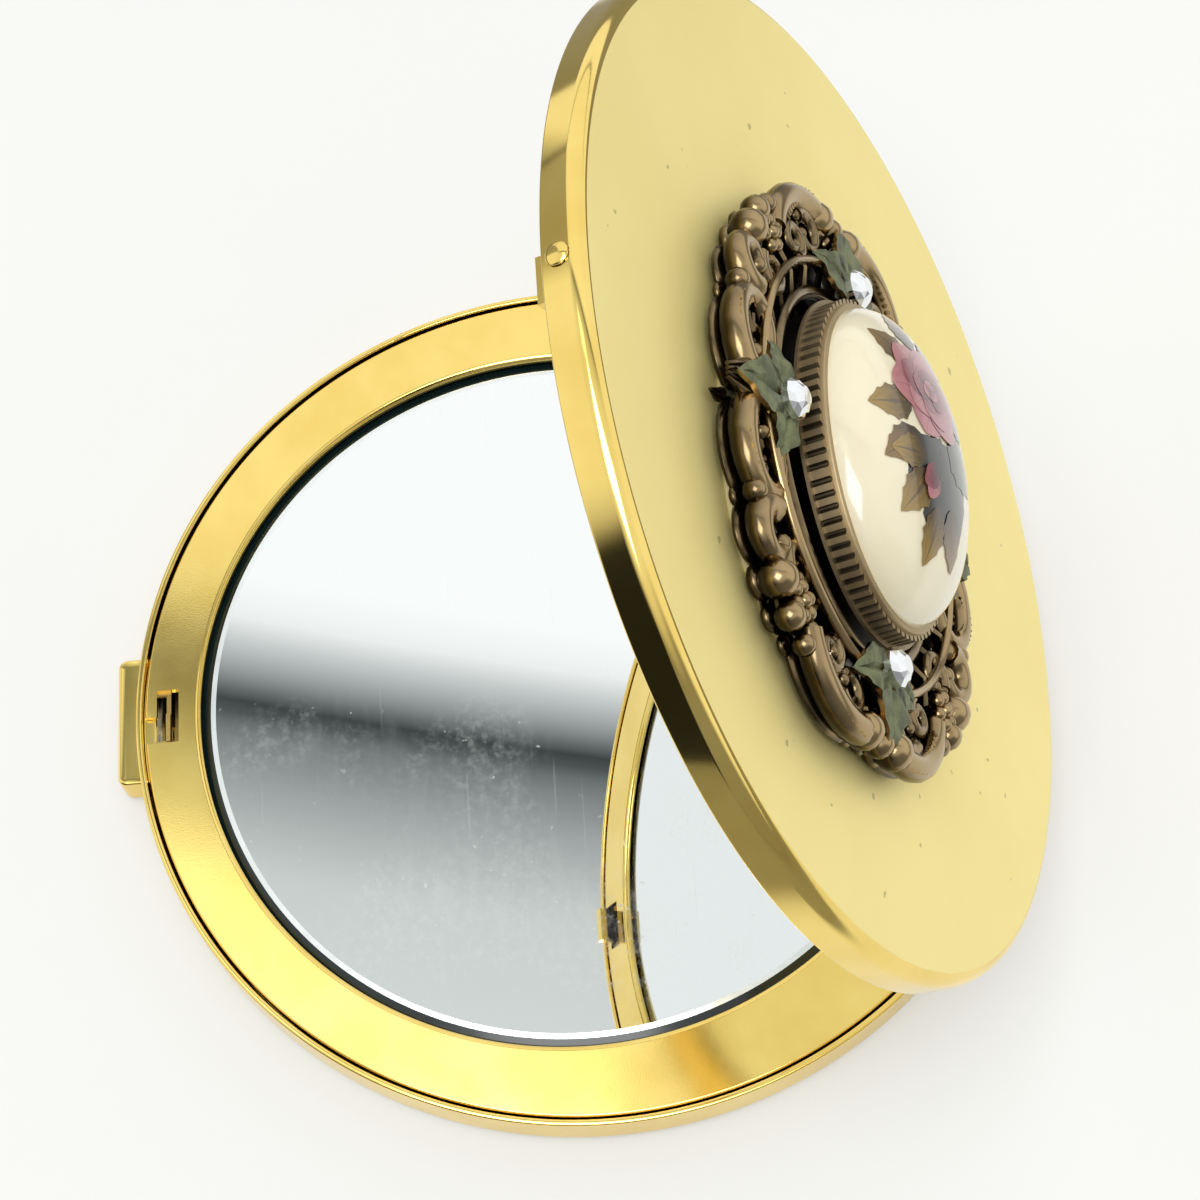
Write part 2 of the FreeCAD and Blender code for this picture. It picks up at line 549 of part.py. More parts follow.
# Lid hinge leaf: flat strip under the lid's face, with the middle knuckle
middle_knuckle = hinge_bar(
    "middle_knuckle", "Sizes.knuckle_radius", "0 - Sizes.lid_knuckle_length / 2",
    "Sizes.lid_knuckle_length")
flat = middle_box(
    "lid_leaf_flat", "Sizes.lid_knuckle_length / 2", HINGE_Y + " - Sizes.lid_leaf_reach",
    LID_CEILING + " - Sizes.leaf_sheet", "Sizes.lid_leaf_reach", "Sizes.leaf_sheet")
lid_bore = hinge_bar(
    "lid_bore", bore_radius, "0 - Sizes.lid_knuckle_length", "2 * Sizes.lid_knuckle_length")
lid_leaf = fuse("lid_leaf", [middle_knuckle, flat])
node(cut("lid_leaf_bored", lid_leaf, [lid_bore]), "lid_hinge_leaf", OPENED)

# Hinge pin: one wire through the three knuckles
node(hinge_bar("pin_wire", "Sizes.pin_radius", "0 - " + half_barrel, "Sizes.hinge_length"), "hinge_pin")

# Push button: rounded block through the window, held by a flange behind the wall
button_block = middle_box(
    "button_block", "Sizes.button_length / 2", "0 - Sizes.case_radius - Sizes.button_reach",
    "Sizes.button_level", "Sizes.case_radius + Sizes.button_reach - " + FLANGE_BACK, BUTTON_HEIGHT)
doc.recompute()
front_edges = []
for number, edge in enumerate(button_block.Shape.Edges, start=1):
    middle = edge.CenterOfMass
    on_front = math.isclose(middle.y, button_block.Shape.BoundBox.YMin, abs_tol=1e-6)
    upright_side = math.isclose(edge.Length, size(BUTTON_HEIGHT), rel_tol=1e-6)
    if on_front and upright_side:
        front_edges.append(number)
rounded_button = doc.addObject("Part::Fillet", "button_rounded")
rounded_button.Base = button_block
corner = size("Sizes.button_round")
rounded_button.Edges = [(number, corner, corner) for number in front_edges]
flange = middle_box(
    "button_flange", FLANGE_HALF, "0 - " + FLANGE_FRONT, "Sizes.button_level",
    "Sizes.flange_sheet", FLANGE_HEIGHT)
hook_room = middle_box(
    "button_hook_room", HOOK_ROOM_HALF, "0 - %s - Sizes.button_travel" % FLANGE_BACK,
    "Sizes.button_level + " + FLANGE_HEIGHT, "Sizes.button_travel + Sizes.cut_overrun",
    BUTTON_HEIGHT)
button_whole = fuse("button_with_flange", [rounded_button, flange])
node(cut("button_relieved", button_whole, [hook_room]), "push_button")

# Latch bolt: a plate behind the button, two arms and a bar with a bent-up edge that holds the lid's hook
bolt_plate = middle_box(
    "bolt_plate", "(%s + Sizes.bolt_arm)" % HOOK_ROOM_HALF, "0 - " + FLANGE_BACK, BOLT_LEVEL,
    "%s - %s" % (FLANGE_BACK, BAR_BACK), "Sizes.bolt_sheet")
bolt_room = middle_box(
    "bolt_room", HOOK_ROOM_HALF, "0 - %s - Sizes.cut_overrun" % FLANGE_BACK,
    BOLT_LEVEL + " - Sizes.cut_overrun", "%s - %s + Sizes.cut_overrun" % (FLANGE_BACK, BAR_FRONT),
    "Sizes.bolt_sheet + 2 * Sizes.cut_overrun")
bar_end = "Sizes.slot_length / 2 - Sizes.window_clearance"
bar_edge = box(
    "bolt_bar_edge", (bar_end + " - Sizes.bar_rise_length", "0 - " + BAR_FRONT, BOLT_LEVEL),
    ("Sizes.bar_rise_length", "Sizes.bolt_bar", "Sizes.bolt_sheet + Sizes.bar_rise"))
bolt_frame = cut("bolt_frame", bolt_plate, [bolt_room])
node(fuse("bolt_whole", [bolt_frame, bar_edge]), "latch_bolt")

# Leaf spring: a bowed strip that presses the button outwards
bow_radius = "((Sizes.spring_half_span^2 + Sizes.spring_sag^2) / (2 * Sizes.spring_sag))"
spring_level = "Sizes.button_level + (%s - Sizes.spring_height) / 2" % FLANGE_HEIGHT
bow_start = ("0", "%s - %s" % (bow_radius, SPRING_FRONT), spring_level)
bow_outside = cylinder("bow_outside", bow_radius, "Sizes.spring_height", bow_start)
bow_inside = cylinder("bow_inside", bow_radius + " - Sizes.spring_sheet", "Sizes.spring_height", bow_start)
bow_span = middle_box(
    "bow_span", "Sizes.spring_half_span", "0 - " + SPRING_FRONT, spring_level,
    "2 * (Sizes.spring_sag + Sizes.spring_sheet)", "Sizes.spring_height")
bow = doc.addObject("Part::Common", "bow")
bow.Base = cut("bow_band", bow_outside, [bow_inside])
bow.Tool = bow_span
node(bow, "button_spring")

# Latch guide: a strip on the base's floor with a post behind each end of the spring
post_reach = "Sizes.spring_half_span + Sizes.guide_post_width / 2"
posts = []
for side, start in (("left", "0 - (%s)" % post_reach), ("right", post_reach + " - Sizes.guide_post_width")):
    posts.append(box(
        "guide_post_" + side, (start, "0 - " + POST_FRONT, "Sizes.shell_wall"),
        ("Sizes.guide_post_width", "Sizes.guide_post_depth", "Sizes.guide_height")))
guide_strip = middle_box(
    "guide_strip", "(%s)" % post_reach, "0 - " + POST_FRONT, "Sizes.shell_wall",
    "Sizes.guide_post_depth", "Sizes.guide_sheet")
node(fuse("guide", posts + [guide_strip]), "latch_guide")

# Lid catch: a bent strip riveted inside the lid's front wall, with a hook that drops through the slot
catch_half = "Sizes.catch_width / 2"
tab_front = "(%s - Sizes.catch_seat_gap)" % INNER_RADIUS
tab_low = "(%s + Sizes.ring_sheet + Sizes.catch_clearance)" % LID_BOTTOM
bridge_top = "(%s - Sizes.lid_edge_radius + Sizes.shell_wall)" % LID_CEILING
tab = middle_box(
    "catch_tab", catch_half, "0 - " + tab_front, tab_low,
    "Sizes.catch_sheet", "%s - %s" % (bridge_top, tab_low))
bridge = middle_box(
    "catch_bridge", catch_half, "0 - " + tab_front, bridge_top + " - Sizes.catch_sheet",
    "%s - %s" % (tab_front, HOOK_BACK), "Sizes.catch_sheet")
strip = middle_box(
    "catch_strip", catch_half, "0 - " + HOOK_FRONT, HOOK_LOW,
    "Sizes.catch_sheet", "%s - %s" % (bridge_top, HOOK_LOW))
tooth = middle_box(
    "catch_tooth", catch_half, "0 - " + HOOK_FRONT, HOOK_LOW,
    "%s - %s" % (HOOK_FRONT, TOOTH_BACK), "Sizes.tooth_height")
rivet_z = "%s + Sizes.rivet_level" % LID_BOTTOM
tab_hole = cylinder(
    "catch_tab_hole", "Sizes.rivet_radius + Sizes.rivet_clearance",
    "Sizes.catch_sheet + 2 * Sizes.cut_overrun",
    ("0", "0 - %s - Sizes.cut_overrun" % tab_front, rivet_z), ALONG_Y)
catch = fuse("catch_bent", [tab, bridge, strip, tooth])
node(cut("catch_holed", catch, [tab_hole]), "lid_catch", OPENED)

# Catch rivet: shank through wall and tab, low domed head outside
cap_radius = "((Sizes.rivet_head_radius^2 + Sizes.rivet_head_height^2) / (2 * Sizes.rivet_head_height))"
ball = doc.addObject("Part::Sphere", "rivet_ball")
ball.setExpression("Radius", cap_radius)
ball.setExpression("Placement.Base.y", "%s - Sizes.rivet_head_height - Sizes.case_radius" % cap_radius)
ball.setExpression("Placement.Base.z", rivet_z)
outside = middle_box(
    "rivet_outside", "Sizes.rivet_head_radius", "0 - Sizes.case_radius - Sizes.rivet_head_height",
    rivet_z + " - Sizes.rivet_head_radius", "Sizes.rivet_head_height", "2 * Sizes.rivet_head_radius")
cap = doc.addObject("Part::Common", "rivet_cap")
cap.Base = ball
cap.Tool = outside
shank = cylinder(
    "rivet_shank", "Sizes.rivet_radius", "Sizes.shell_wall + Sizes.catch_seat_gap + Sizes.catch_sheet",
    ("0", "0 - Sizes.case_radius", rivet_z), ALONG_Y)
node(fuse("rivet_whole", [cap, shank]), "catch_rivet", OPENED)

# Adhesive under the ornament: an oval film, squeezed out at the front on one side
centre_x = "Sizes.ornament_offset"
centre_y = "Sizes.ornament_setback"
film = oval(
    "glue_film", "Sizes.glue_half_length", "Sizes.glue_half_width", "Sizes.glue_sheet",
    (centre_x, centre_y, LID_TOP))
bulge = cylinder(
    "glue_bulge", "Sizes.glue_bulge_radius", "Sizes.glue_sheet",
    (centre_x + " + Sizes.glue_bulge_x", centre_y + " + Sizes.glue_bulge_y", LID_TOP))
node(fuse("glue", [film, bulge]), "ornament_adhesive", OPENED)

# Oval field of the filigree, inside its lobes
FIELD_HALF_LENGTH = "(Sizes.filigree_radius - Sizes.lobe_reach_ends)"
FIELD_HALF_WIDTH = "(Sizes.filigree_radius - Sizes.lobe_reach_sides)"

# Lobes of the filigree's edge in one quarter: angle from the Y axis, centre and radius as shares of the reach
LOBE_SHARES = [
    (10.0, 0.695, 0.167),
    (23.0, 0.748, 0.129),
    (37.0, 0.817, 0.086),
    (48.0, 0.810, 0.119),
    (66.0, 0.839, 0.133),
    (82.0, 0.853, 0.143),
]
EYE_SHARE = 0.42
WINDOW_ANGLES = (22.0, 40.0, 58.0, 72.0)
WINDOW_RADIUS_SHARE = 0.052
WINDOW_PLACE_SHARE = 0.84


def quarters(angle):
    """The four mirror images of a direction, as unit steps along X and Y."""
    across = math.sin(math.radians(angle))
    along = math.cos(math.radians(angle))
    return [(side * across, end * along) for side in (1, -1) for end in (1, -1)]


def filigree(name, bottom, extras):
    """A pierced stamping: oval field with a lobed edge, an eye in each lobe and a row of windows."""
    pieces = [oval(
        name + "_field", FIELD_HALF_LENGTH, FIELD_HALF_WIDTH, "Sizes.filigree_sheet",
        (centre_x, centre_y, bottom))]
    holes = [cylinder(
        name + "_post_hole", "Sizes.post_radius + Sizes.rivet_clearance",
        "2 * (Sizes.filigree_sheet + Sizes.filigree_gap + Sizes.cut_overrun)",
        (centre_x, centre_y, bottom + " - Sizes.filigree_gap - Sizes.cut_overrun"))]
    for index, (angle, place_share, lobe_share) in enumerate(LOBE_SHARES):
        for turn, (across, along) in enumerate(quarters(angle)):
            centre = (
                "%s + %.6f * Sizes.filigree_radius" % (centre_x, place_share * across),
                "%s + %.6f * Sizes.filigree_radius" % (centre_y, place_share * along))
            tag = "%s_%d_%d" % (name, index, turn)
            pieces.append(cylinder(
                tag + "_lobe", "%.6f * Sizes.filigree_radius" % lobe_share, "Sizes.filigree_sheet",
                centre + (bottom,)))
            holes.append(cylinder(
                tag + "_eye", "%.6f * Sizes.filigree_radius" % (lobe_share * EYE_SHARE),
                "Sizes.filigree_sheet + 2 * Sizes.cut_overrun",
                centre + (bottom + " - Sizes.cut_overrun",)))
    for index, angle in enumerate(WINDOW_ANGLES):
        for turn, (across, along) in enumerate(quarters(angle)):
            holes.append(cylinder(
                "%s_window_%d_%d" % (name, index, turn),
                "%.6f * Sizes.filigree_radius" % WINDOW_RADIUS_SHARE,
                "Sizes.filigree_sheet + 2 * Sizes.cut_overrun",
                ("%s + %.6f * %s" % (centre_x, WINDOW_PLACE_SHARE * across, FIELD_HALF_LENGTH),
                 "%s + %.6f * %s" % (centre_y, WINDOW_PLACE_SHARE * along, FIELD_HALF_WIDTH),
                 bottom + " - Sizes.cut_overrun")))
    return cut(name + "_pierced", fuse(name + "_whole", pieces + extras), holes)


# Lower stamping, glued to the lid
node(filigree("lower", GLUE_TOP, []), "filigree_lower", OPENED)

# Upper stamping: the same form on a hub, with a raised oval wire that carries the sprigs
hub = oval(
    "upper_hub", FIELD_HALF_LENGTH + " * Sizes.filigree_hub_share",
    FIELD_HALF_WIDTH + " * Sizes.filigree_hub_share", "Sizes.filigree_gap + Sizes.filigree_sheet",
    (centre_x, centre_y, LOWER_TOP))
wire_length = "Sizes.cabochon_half_length + Sizes.wire_margin_ends"
wire_width = "Sizes.cabochon_half_width + Sizes.wire_margin_sides"
wire_outside = oval(
    "wire_outside", wire_length + " + Sizes.wire_width / 2", wire_width + " + Sizes.wire_width / 2",
    "Sizes.wire_rise", (centre_x, centre_y, UPPER_TOP))
wire_inside = oval(
    "wire_inside", wire_length + " - Sizes.wire_width / 2", wire_width + " - Sizes.wire_width / 2",
    "Sizes.wire_rise", (centre_x, centre_y, UPPER_TOP))
wire = cut("wire_band", wire_outside, [wire_inside])
upper = fuse("upper_with_wire", [filigree("upper", UPPER_BOTTOM, [hub]), wire])
node(upper, "filigree_upper", OPENED)

# Ornament post: the rivet that holds both stampings and the setting
post = cylinder(
    "post_shank", "Sizes.post_radius", "%s - Sizes.post_head_height - (%s)" % (SETTING_FLOOR, GLUE_TOP),
    (centre_x, centre_y, GLUE_TOP))
post_head = cylinder(
    "post_head", "Sizes.post_head_radius", "Sizes.post_head_height",
    (centre_x, centre_y, SETTING_FLOOR + " - Sizes.post_head_height"))
node(fuse("post_whole", [post, post_head]), "ornament_rivet", OPENED)


def fluted_band(half_length, half_width, low, high):
    """An oval prism with V-shaped flutes all round."""
    steps = 2 * int(size("Sizes.flute_count"))
    depth = size("Sizes.flute_depth")
    points = []
    for step in range(steps):
        turn = 2 * math.pi * step / steps
        inset = depth * (step % 2)
        across = (size(half_length) - inset) * math.cos(turn)
        along = (size(half_width) - inset) * math.sin(turn)
        points.append(FreeCAD.Vector(size(centre_x) + across, size(centre_y) + along, size(low)))
    face = Part.Face(Part.makePolygon(points + points[:1]))
    band = doc.addObject("Part::Feature", "setting_flutes")
    band.Shape = face.extrude(FreeCAD.Vector(0, 0, size(high) - size(low)))
    return band


# Setting: an oval foot, a fluted band and a smooth bezel wall round the cabochon
seat_length = "Sizes.cabochon_half_length + Sizes.cabochon_clearance"
seat_width = "Sizes.cabochon_half_width + Sizes.cabochon_clearance"
setting_foot = oval(
    "setting_foot", "Sizes.cabochon_half_length + Sizes.setting_foot_width",
    "Sizes.cabochon_half_width + Sizes.setting_foot_width", "Sizes.setting_foot_height",
    (centre_x, centre_y, UPPER_TOP))
flutes = fluted_band(
    seat_length + " + Sizes.setting_wall + Sizes.flute_depth",
    seat_width + " + Sizes.setting_wall + Sizes.flute_depth", UPPER_TOP, UPPER_TOP + " + Sizes.flute_height")
bezel_wall = oval(
    "bezel_wall", seat_length + " + Sizes.setting_wall", seat_width + " + Sizes.setting_wall",
    "Sizes.setting_floor + Sizes.setting_wall_height", (centre_x, centre_y, UPPER_TOP))
seat = oval(
    "cabochon_seat", seat_length, seat_width, "Sizes.setting_wall_height + Sizes.cut_overrun",
    (centre_x, centre_y, SETTING_FLOOR))
head_room = cylinder(
    "post_head_room", "Sizes.post_head_radius + Sizes.rivet_clearance",
    "Sizes.post_head_height + Sizes.cut_overrun",
    (centre_x, centre_y, SETTING_FLOOR + " - Sizes.post_head_height"))
post_room = cylinder(
    "post_room", "Sizes.post_radius + Sizes.rivet_clearance", "Sizes.setting_floor + Sizes.cut_overrun",
    (centre_x, centre_y, UPPER_TOP + " - Sizes.cut_overrun"))
setting = fuse("setting_whole", [setting_foot, flutes, bezel_wall])
node(cut("setting_open", setting, [seat, head_room, post_room]), "cabochon_setting", OPENED)

# Cabochon: straight girdle and a domed top of glazed porcelain
girdle = oval(
    "cabochon_body", "Sizes.cabochon_half_length", "Sizes.cabochon_half_width", "Sizes.cabochon_girdle",
    (centre_x, centre_y, SETTING_FLOOR))
dome = doc.addObject("Part::Ellipsoid", "cabochon_top")
dome.setExpression("Radius1", "Sizes.cabochon_dome")
dome.setExpression("Radius2", "Sizes.cabochon_half_length")
dome.setExpression("Radius3", "Sizes.cabochon_half_width")
dome.Angle1 = 0
dome.setExpression("Placement.Base.x", centre_x)
dome.setExpression("Placement.Base.y", centre_y)
dome.setExpression("Placement.Base.z", SETTING_FLOOR + " + Sizes.cabochon_girdle")
node(fuse("cabochon_whole", [girdle, dome]), "cabochon", OPENED)

# Sprigs: three pointed leaves each, one outwards and two aside
SPRIG_LEAF_ANGLES = (0.0, 78.0, -78.0)
lens_radius = "((Sizes.leaf_length^2 + Sizes.leaf_width^2) / (4 * Sizes.leaf_width))"


def leaf(name, x, y, heading):
    """A pointed leaf that starts at a point and runs along a heading: two round plates in common."""
    step_x = math.cos(math.radians(heading))
    step_y = math.sin(math.radians(heading))
    halves = []
    for side in (1, -1):
        offset = "(%d * (%s - Sizes.leaf_width / 2))" % (side, lens_radius)
        halves.append(cylinder(
            "%s_half_%d" % (name, side + 1), lens_radius, "Sizes.sprig_sheet",
            ("%s + %.6f * Sizes.leaf_length / 2 + %.6f * %s" % (x, step_x, -step_y, offset),
             "%s + %.6f * Sizes.leaf_length / 2 + %.6f * %s" % (y, step_y, step_x, offset),
             SPRIG_BOTTOM)))
    lens = doc.addObject("Part::Common", name)
    lens.Base = halves[0]
    lens.Tool = halves[1]
    return lens


# Rings of a stone from its back up: height as a share of the stone's, radius as a share of the girdle's
STONE_RING_SHARES = [(0.0, 0.86), (0.35, 1.0), (1.0, 0.55)]
STONE_FACETS = 8


def stone(name, x, y):
    """A flat-backed stone: faceted pavilion to the girdle and crown up to a flat table."""
    radius = size("Sizes.stone_radius")
    bottom = size(SPRIG_TOP)
    height = size("Sizes.stone_height")
    wires = []
    for level, share in STONE_RING_SHARES:
        ring = []
        for facet in range(STONE_FACETS + 1):
            turn = 2 * math.pi * facet / STONE_FACETS
            ring.append(FreeCAD.Vector(
                size(x) + share * radius * math.cos(turn), size(y) + share * radius * math.sin(turn),
                bottom + level * height))
        wires.append(Part.makePolygon(ring))
    cut_stone = doc.addObject("Part::Feature", name)
    cut_stone.Shape = Part.makeLoft(wires, True, True)
    return cut_stone


sprig_length = "(Sizes.cabochon_half_length + Sizes.sprig_margin_ends)"
sprig_width = "(Sizes.cabochon_half_width + Sizes.sprig_margin_sides)"
SPRIGS = [
    ("front", centre_x, "%s - %s" % (centre_y, sprig_width), -90.0),
    ("back", centre_x, "%s + %s" % (centre_y, sprig_width), 90.0),
    ("left", "%s - %s" % (centre_x, sprig_length), centre_y, 180.0),
    ("right", "%s + %s" % (centre_x, sprig_length), centre_y, 0.0),
]
stones = []
for side, x, y, outwards in SPRIGS:
    leaves = [leaf("leaf_%s_%d" % (side, number), x, y, outwards + turn)
              for number, turn in enumerate(SPRIG_LEAF_ANGLES)]
    seat_disc = cylinder(
        "sprig_seat_" + side, "Sizes.stone_radius", "Sizes.sprig_sheet", (x, y, SPRIG_BOTTOM))
    node(fuse("sprig_" + side, leaves + [seat_disc]), "leaf_sprig_" + side, OPENED)
    stones.append((stone("stone_" + side, x, y), "rhinestone_" + side))
for cut_stone, label in stones:
    node(cut_stone, label, OPENED)

doc.recompute()
os.makedirs("parts", exist_ok=True)
for item in doc.Objects:
    if "Invalid" in item.State or "Error" in item.State:
        raise RuntimeError("failed object: %s %s" % (item.Name, item.State))
for piece in nodes:
    if piece.Shape.isNull() or not piece.Shape.isValid():
        raise RuntimeError("bad shape: " + piece.Label)
for piece in nodes:
    piece.Shape.exportStep("parts/%s.step" % piece.Label)
    print("%-22s %d solid(s) %9.2f mm3" % (piece.Label, len(piece.Shape.Solids), piece.Shape.Volume))
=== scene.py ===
import json
import math

import bmesh
import bpy
from mathutils import Matrix, Vector


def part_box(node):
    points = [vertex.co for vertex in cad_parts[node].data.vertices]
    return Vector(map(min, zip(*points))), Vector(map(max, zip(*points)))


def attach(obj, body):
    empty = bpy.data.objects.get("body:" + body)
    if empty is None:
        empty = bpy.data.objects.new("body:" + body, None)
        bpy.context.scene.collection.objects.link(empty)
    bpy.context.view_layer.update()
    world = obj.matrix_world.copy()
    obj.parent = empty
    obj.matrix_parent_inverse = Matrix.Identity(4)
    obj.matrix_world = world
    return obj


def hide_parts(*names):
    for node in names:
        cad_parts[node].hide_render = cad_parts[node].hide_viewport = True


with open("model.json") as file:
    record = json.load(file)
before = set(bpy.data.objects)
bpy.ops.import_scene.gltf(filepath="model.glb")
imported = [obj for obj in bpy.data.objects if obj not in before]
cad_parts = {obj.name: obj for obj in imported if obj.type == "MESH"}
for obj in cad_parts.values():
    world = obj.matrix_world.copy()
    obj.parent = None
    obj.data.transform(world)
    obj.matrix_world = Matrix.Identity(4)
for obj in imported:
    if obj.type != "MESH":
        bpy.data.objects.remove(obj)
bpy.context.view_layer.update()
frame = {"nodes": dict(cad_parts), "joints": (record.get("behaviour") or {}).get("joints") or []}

# Base shell: a shallow cup drawn from thin brass sheet and plated bright gold.
# The front wall is pierced for the push button, and all the base's pieces sit inside it.
shell_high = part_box("base_shell")[1]
case_radius = shell_high.x
base_rim = shell_high.z
shell_wall = 0.0005
base_corner = 0.0012
rim_chamfer = 0.00015
round_steps = 256
tiny = 1e-6
window_clearance = 0.00015
button_half = 0.0053


def take(name):
    """The primitive just added, under its own name, with its place in its mesh and open for editing."""
    piece = bpy.context.active_object
    piece.name = name
    piece.data.name = name
    bpy.ops.object.transform_apply(location=True, rotation=True, scale=True)
    bpy.ops.object.mode_set(mode="EDIT")
    bpy.ops.mesh.select_mode(type="VERT")
    return piece


def pick(piece, kind, test):
    """Selects the vertices, edges or faces of the piece in hand that pass a test of their place."""
    bpy.ops.mesh.select_mode(type=kind)
    bpy.ops.mesh.select_all(action="DESELECT")
    form = bmesh.from_edit_mesh(piece.data)
    members = {"VERT": form.verts, "EDGE": form.edges, "FACE": form.faces}[kind]
    for member in members:
        if test(member):
            member.select_set(True)
    form.select_flush_mode()
    bmesh.update_edit_mesh(piece.data)


def pick_circle(piece, radius, height, centre_y=0.0):
    """Selects the edges that lie on one circle round an upright axis."""
    def on_circle(edge):
        return all(
            abs(corner.co.z - height) < tiny
            and abs(math.hypot(corner.co.x, corner.co.y - centre_y) - radius) < tiny
            for corner in edge.verts)
    pick(piece, "EDGE", on_circle)


def select_only(piece):
    """Makes one object the only selected and the active one."""
    bpy.ops.object.select_all(action="DESELECT")
    piece.select_set(True)
    bpy.context.view_layer.objects.active = piece


def leave_edit():
    """Closes the piece that is open for editing."""
    bpy.ops.object.mode_set(mode="OBJECT")


def extrude(distance):
    """Draws out what is selected, and moves the new end by a distance."""
    bpy.ops.mesh.extrude_region_move(TRANSFORM_OT_translate={"value": distance})


def resize(shares, centre):
    """Scales what is selected about a point."""
    bpy.ops.transform.resize(value=shares, center_override=centre)


def combine(piece, tool, operation):
    """Cuts a tool from a piece or joins it on, and clears the tool away."""
    select_only(piece)
    change = piece.modifiers.new("change", "BOOLEAN")
    change.object = tool
    change.operation = operation
    change.solver = "EXACT"
    bpy.ops.object.modifier_apply(modifier=change.name)
    bpy.data.objects.remove(tool)


def press_out(piece, low, high):
    """Cuts a box-shaped opening, as a piercing tool does."""
    size = [top - bottom for bottom, top in zip(low, high)]
    middle = [(top + bottom) / 2 for bottom, top in zip(low, high)]
    bpy.ops.mesh.primitive_cube_add(size=1, location=middle, scale=size)
    combine(piece, bpy.context.active_object, "DIFFERENCE")


def settle(piece, crease=30.0):
    """Closes the mesh, turns its faces outwards and shades its rounded edges smooth."""
    select_only(piece)
    bpy.ops.object.mode_set(mode="EDIT")
    bpy.ops.mesh.select_all(action="SELECT")
    bpy.ops.mesh.remove_doubles(threshold=tiny)
    bpy.ops.mesh.normals_make_consistent(inside=False)
    leave_edit()
    bpy.ops.object.shade_smooth_by_angle(angle=math.radians(crease))
    even = piece.modifiers.new("even_normals", "WEIGHTED_NORMAL")
    even.keep_sharp = True
    bpy.ops.object.modifier_apply(modifier=even.name)


def drawn_cup(name, height, corner):
    """A cup of sheet metal on the floor: flat bottom, rounded corner, upright wall, softened rim."""
    bpy.ops.mesh.primitive_cylinder_add(
        vertices=round_steps, radius=case_radius, depth=height, location=(0, 0, height / 2))
    cup = take(name)
    pick(cup, "FACE", lambda face: face.normal.z > 0.9)
    bpy.ops.mesh.inset(thickness=shell_wall)
    extrude((0, 0, shell_wall - height))
    inner_radius = case_radius - shell_wall
    pick_circle(cup, inner_radius, shell_wall)
    bpy.ops.mesh.bevel(offset=corner - shell_wall, segments=5, affect="EDGES")
    pick_circle(cup, case_radius, 0)
    bpy.ops.mesh.bevel(offset=corner, segments=10, affect="EDGES")
    for rim_radius in (case_radius, inner_radius):
        pick_circle(cup, rim_radius, height)
        bpy.ops.mesh.bevel(offset=rim_chamfer, segments=3, affect="EDGES")
    leave_edit()
    return cup


class Flow:
    """A socket in a finish's node tree, so that shader sums are written as arithmetic."""

    def __init__(self, tree, socket=None):
        self.tree = tree
        self.socket = socket

    def add(self, kind, settings, sockets, output=None):
        """Adds any node: its settings first, then the values or links of its sockets."""
        node = self.tree.nodes.new(kind)
        for name, value in settings.items():
            if name == "stops":
                ramp = node.color_ramp
                while len(ramp.elements) < len(value):
                    ramp.elements.new(1.0)
                for stop, (place, colour) in zip(ramp.elements, value):
                    stop.position = place
                    stop.color = colour
            else:
                setattr(node, name, value)
        for name, value in sockets.items():
            found = [end for end in node.inputs if end.enabled and name in (end.identifier, end.name)]
            if isinstance(value, Flow):
                self.tree.links.new(value.socket, found[0])
            else:
                found[0].default_value = value
        ends = [end for end in node.outputs if end.enabled and output in (None, end.name)]
        return Flow(self.tree, ends[0])

    def sum(self, operation, left, right):
        return self.add("ShaderNodeMath", {"operation": operation}, {"Value": left, "Value_001": right})

    def __add__(self, other):
        return self.sum("ADD", self, other)

    __radd__ = __add__

    def __sub__(self, other):
        return self.sum("SUBTRACT", self, other)

    def __rsub__(self, other):
        return self.sum("SUBTRACT", other, self)

    def __mul__(self, other):
        return self.sum("MULTIPLY", self, other)

    __rmul__ = __mul__

    def __abs__(self):
        return self.add("ShaderNodeMath", {"operation": "ABSOLUTE"}, {"Value": self})

    def step(self, low, high):
        """A soft step from 0 at low to 1 at high."""
        return self.add(
            "ShaderNodeMapRange", {"interpolation_type": "SMOOTHSTEP"},
            {"Value": self, "From Min": low, "From Max": high})

    def blend(self, none, full):
        """The colour between two, with this value as the share of the second."""
        return self.add(
            "ShaderNodeMix", {"data_type": "RGBA"}, {"Factor": self, "A": none, "B": full})

    def noise(self, scale, detail=3.0, roughness=0.5):
        """Cloudy noise at this place, from 0 to 1."""
        return self.add(
            "ShaderNodeTexNoise", {},
            {"Vector": self, "Scale": scale, "Detail": detail, "Roughness": roughness}, "Fac")

    def split(self, axis):
        """One axis of this place."""
        return self.add("ShaderNodeSeparateXYZ", {}, {"Vector": self}, axis)

    def bump(self, distance, strength):
        """The surface normal over this height."""
        return self.add(
            "ShaderNodeBump", {}, {"Height": self, "Distance": distance, "Strength": strength})


def new_finish(name, constants):
    """A material with its steady values set, its shader, and the place on the piece in metres."""
    material = bpy.data.materials.new(name)
    material.use_nodes = True
    shader = material.node_tree.nodes["Principled BSDF"]
    for socket, value in constants.items():
        shader.inputs[socket].default_value = value
    place = Flow(material.node_tree).add("ShaderNodeTexCoord", {}, {}, "Object")
    return material, shader, place


def feed(shader, socket, flow):
    """Links a value that changes over the surface to the shader."""
    flow.tree.links.new(flow.socket, shader.inputs[socket])


def dress(piece, material):
    """Gives the whole piece one finish."""
    piece.data.materials.clear()
    piece.data.materials.append(material)


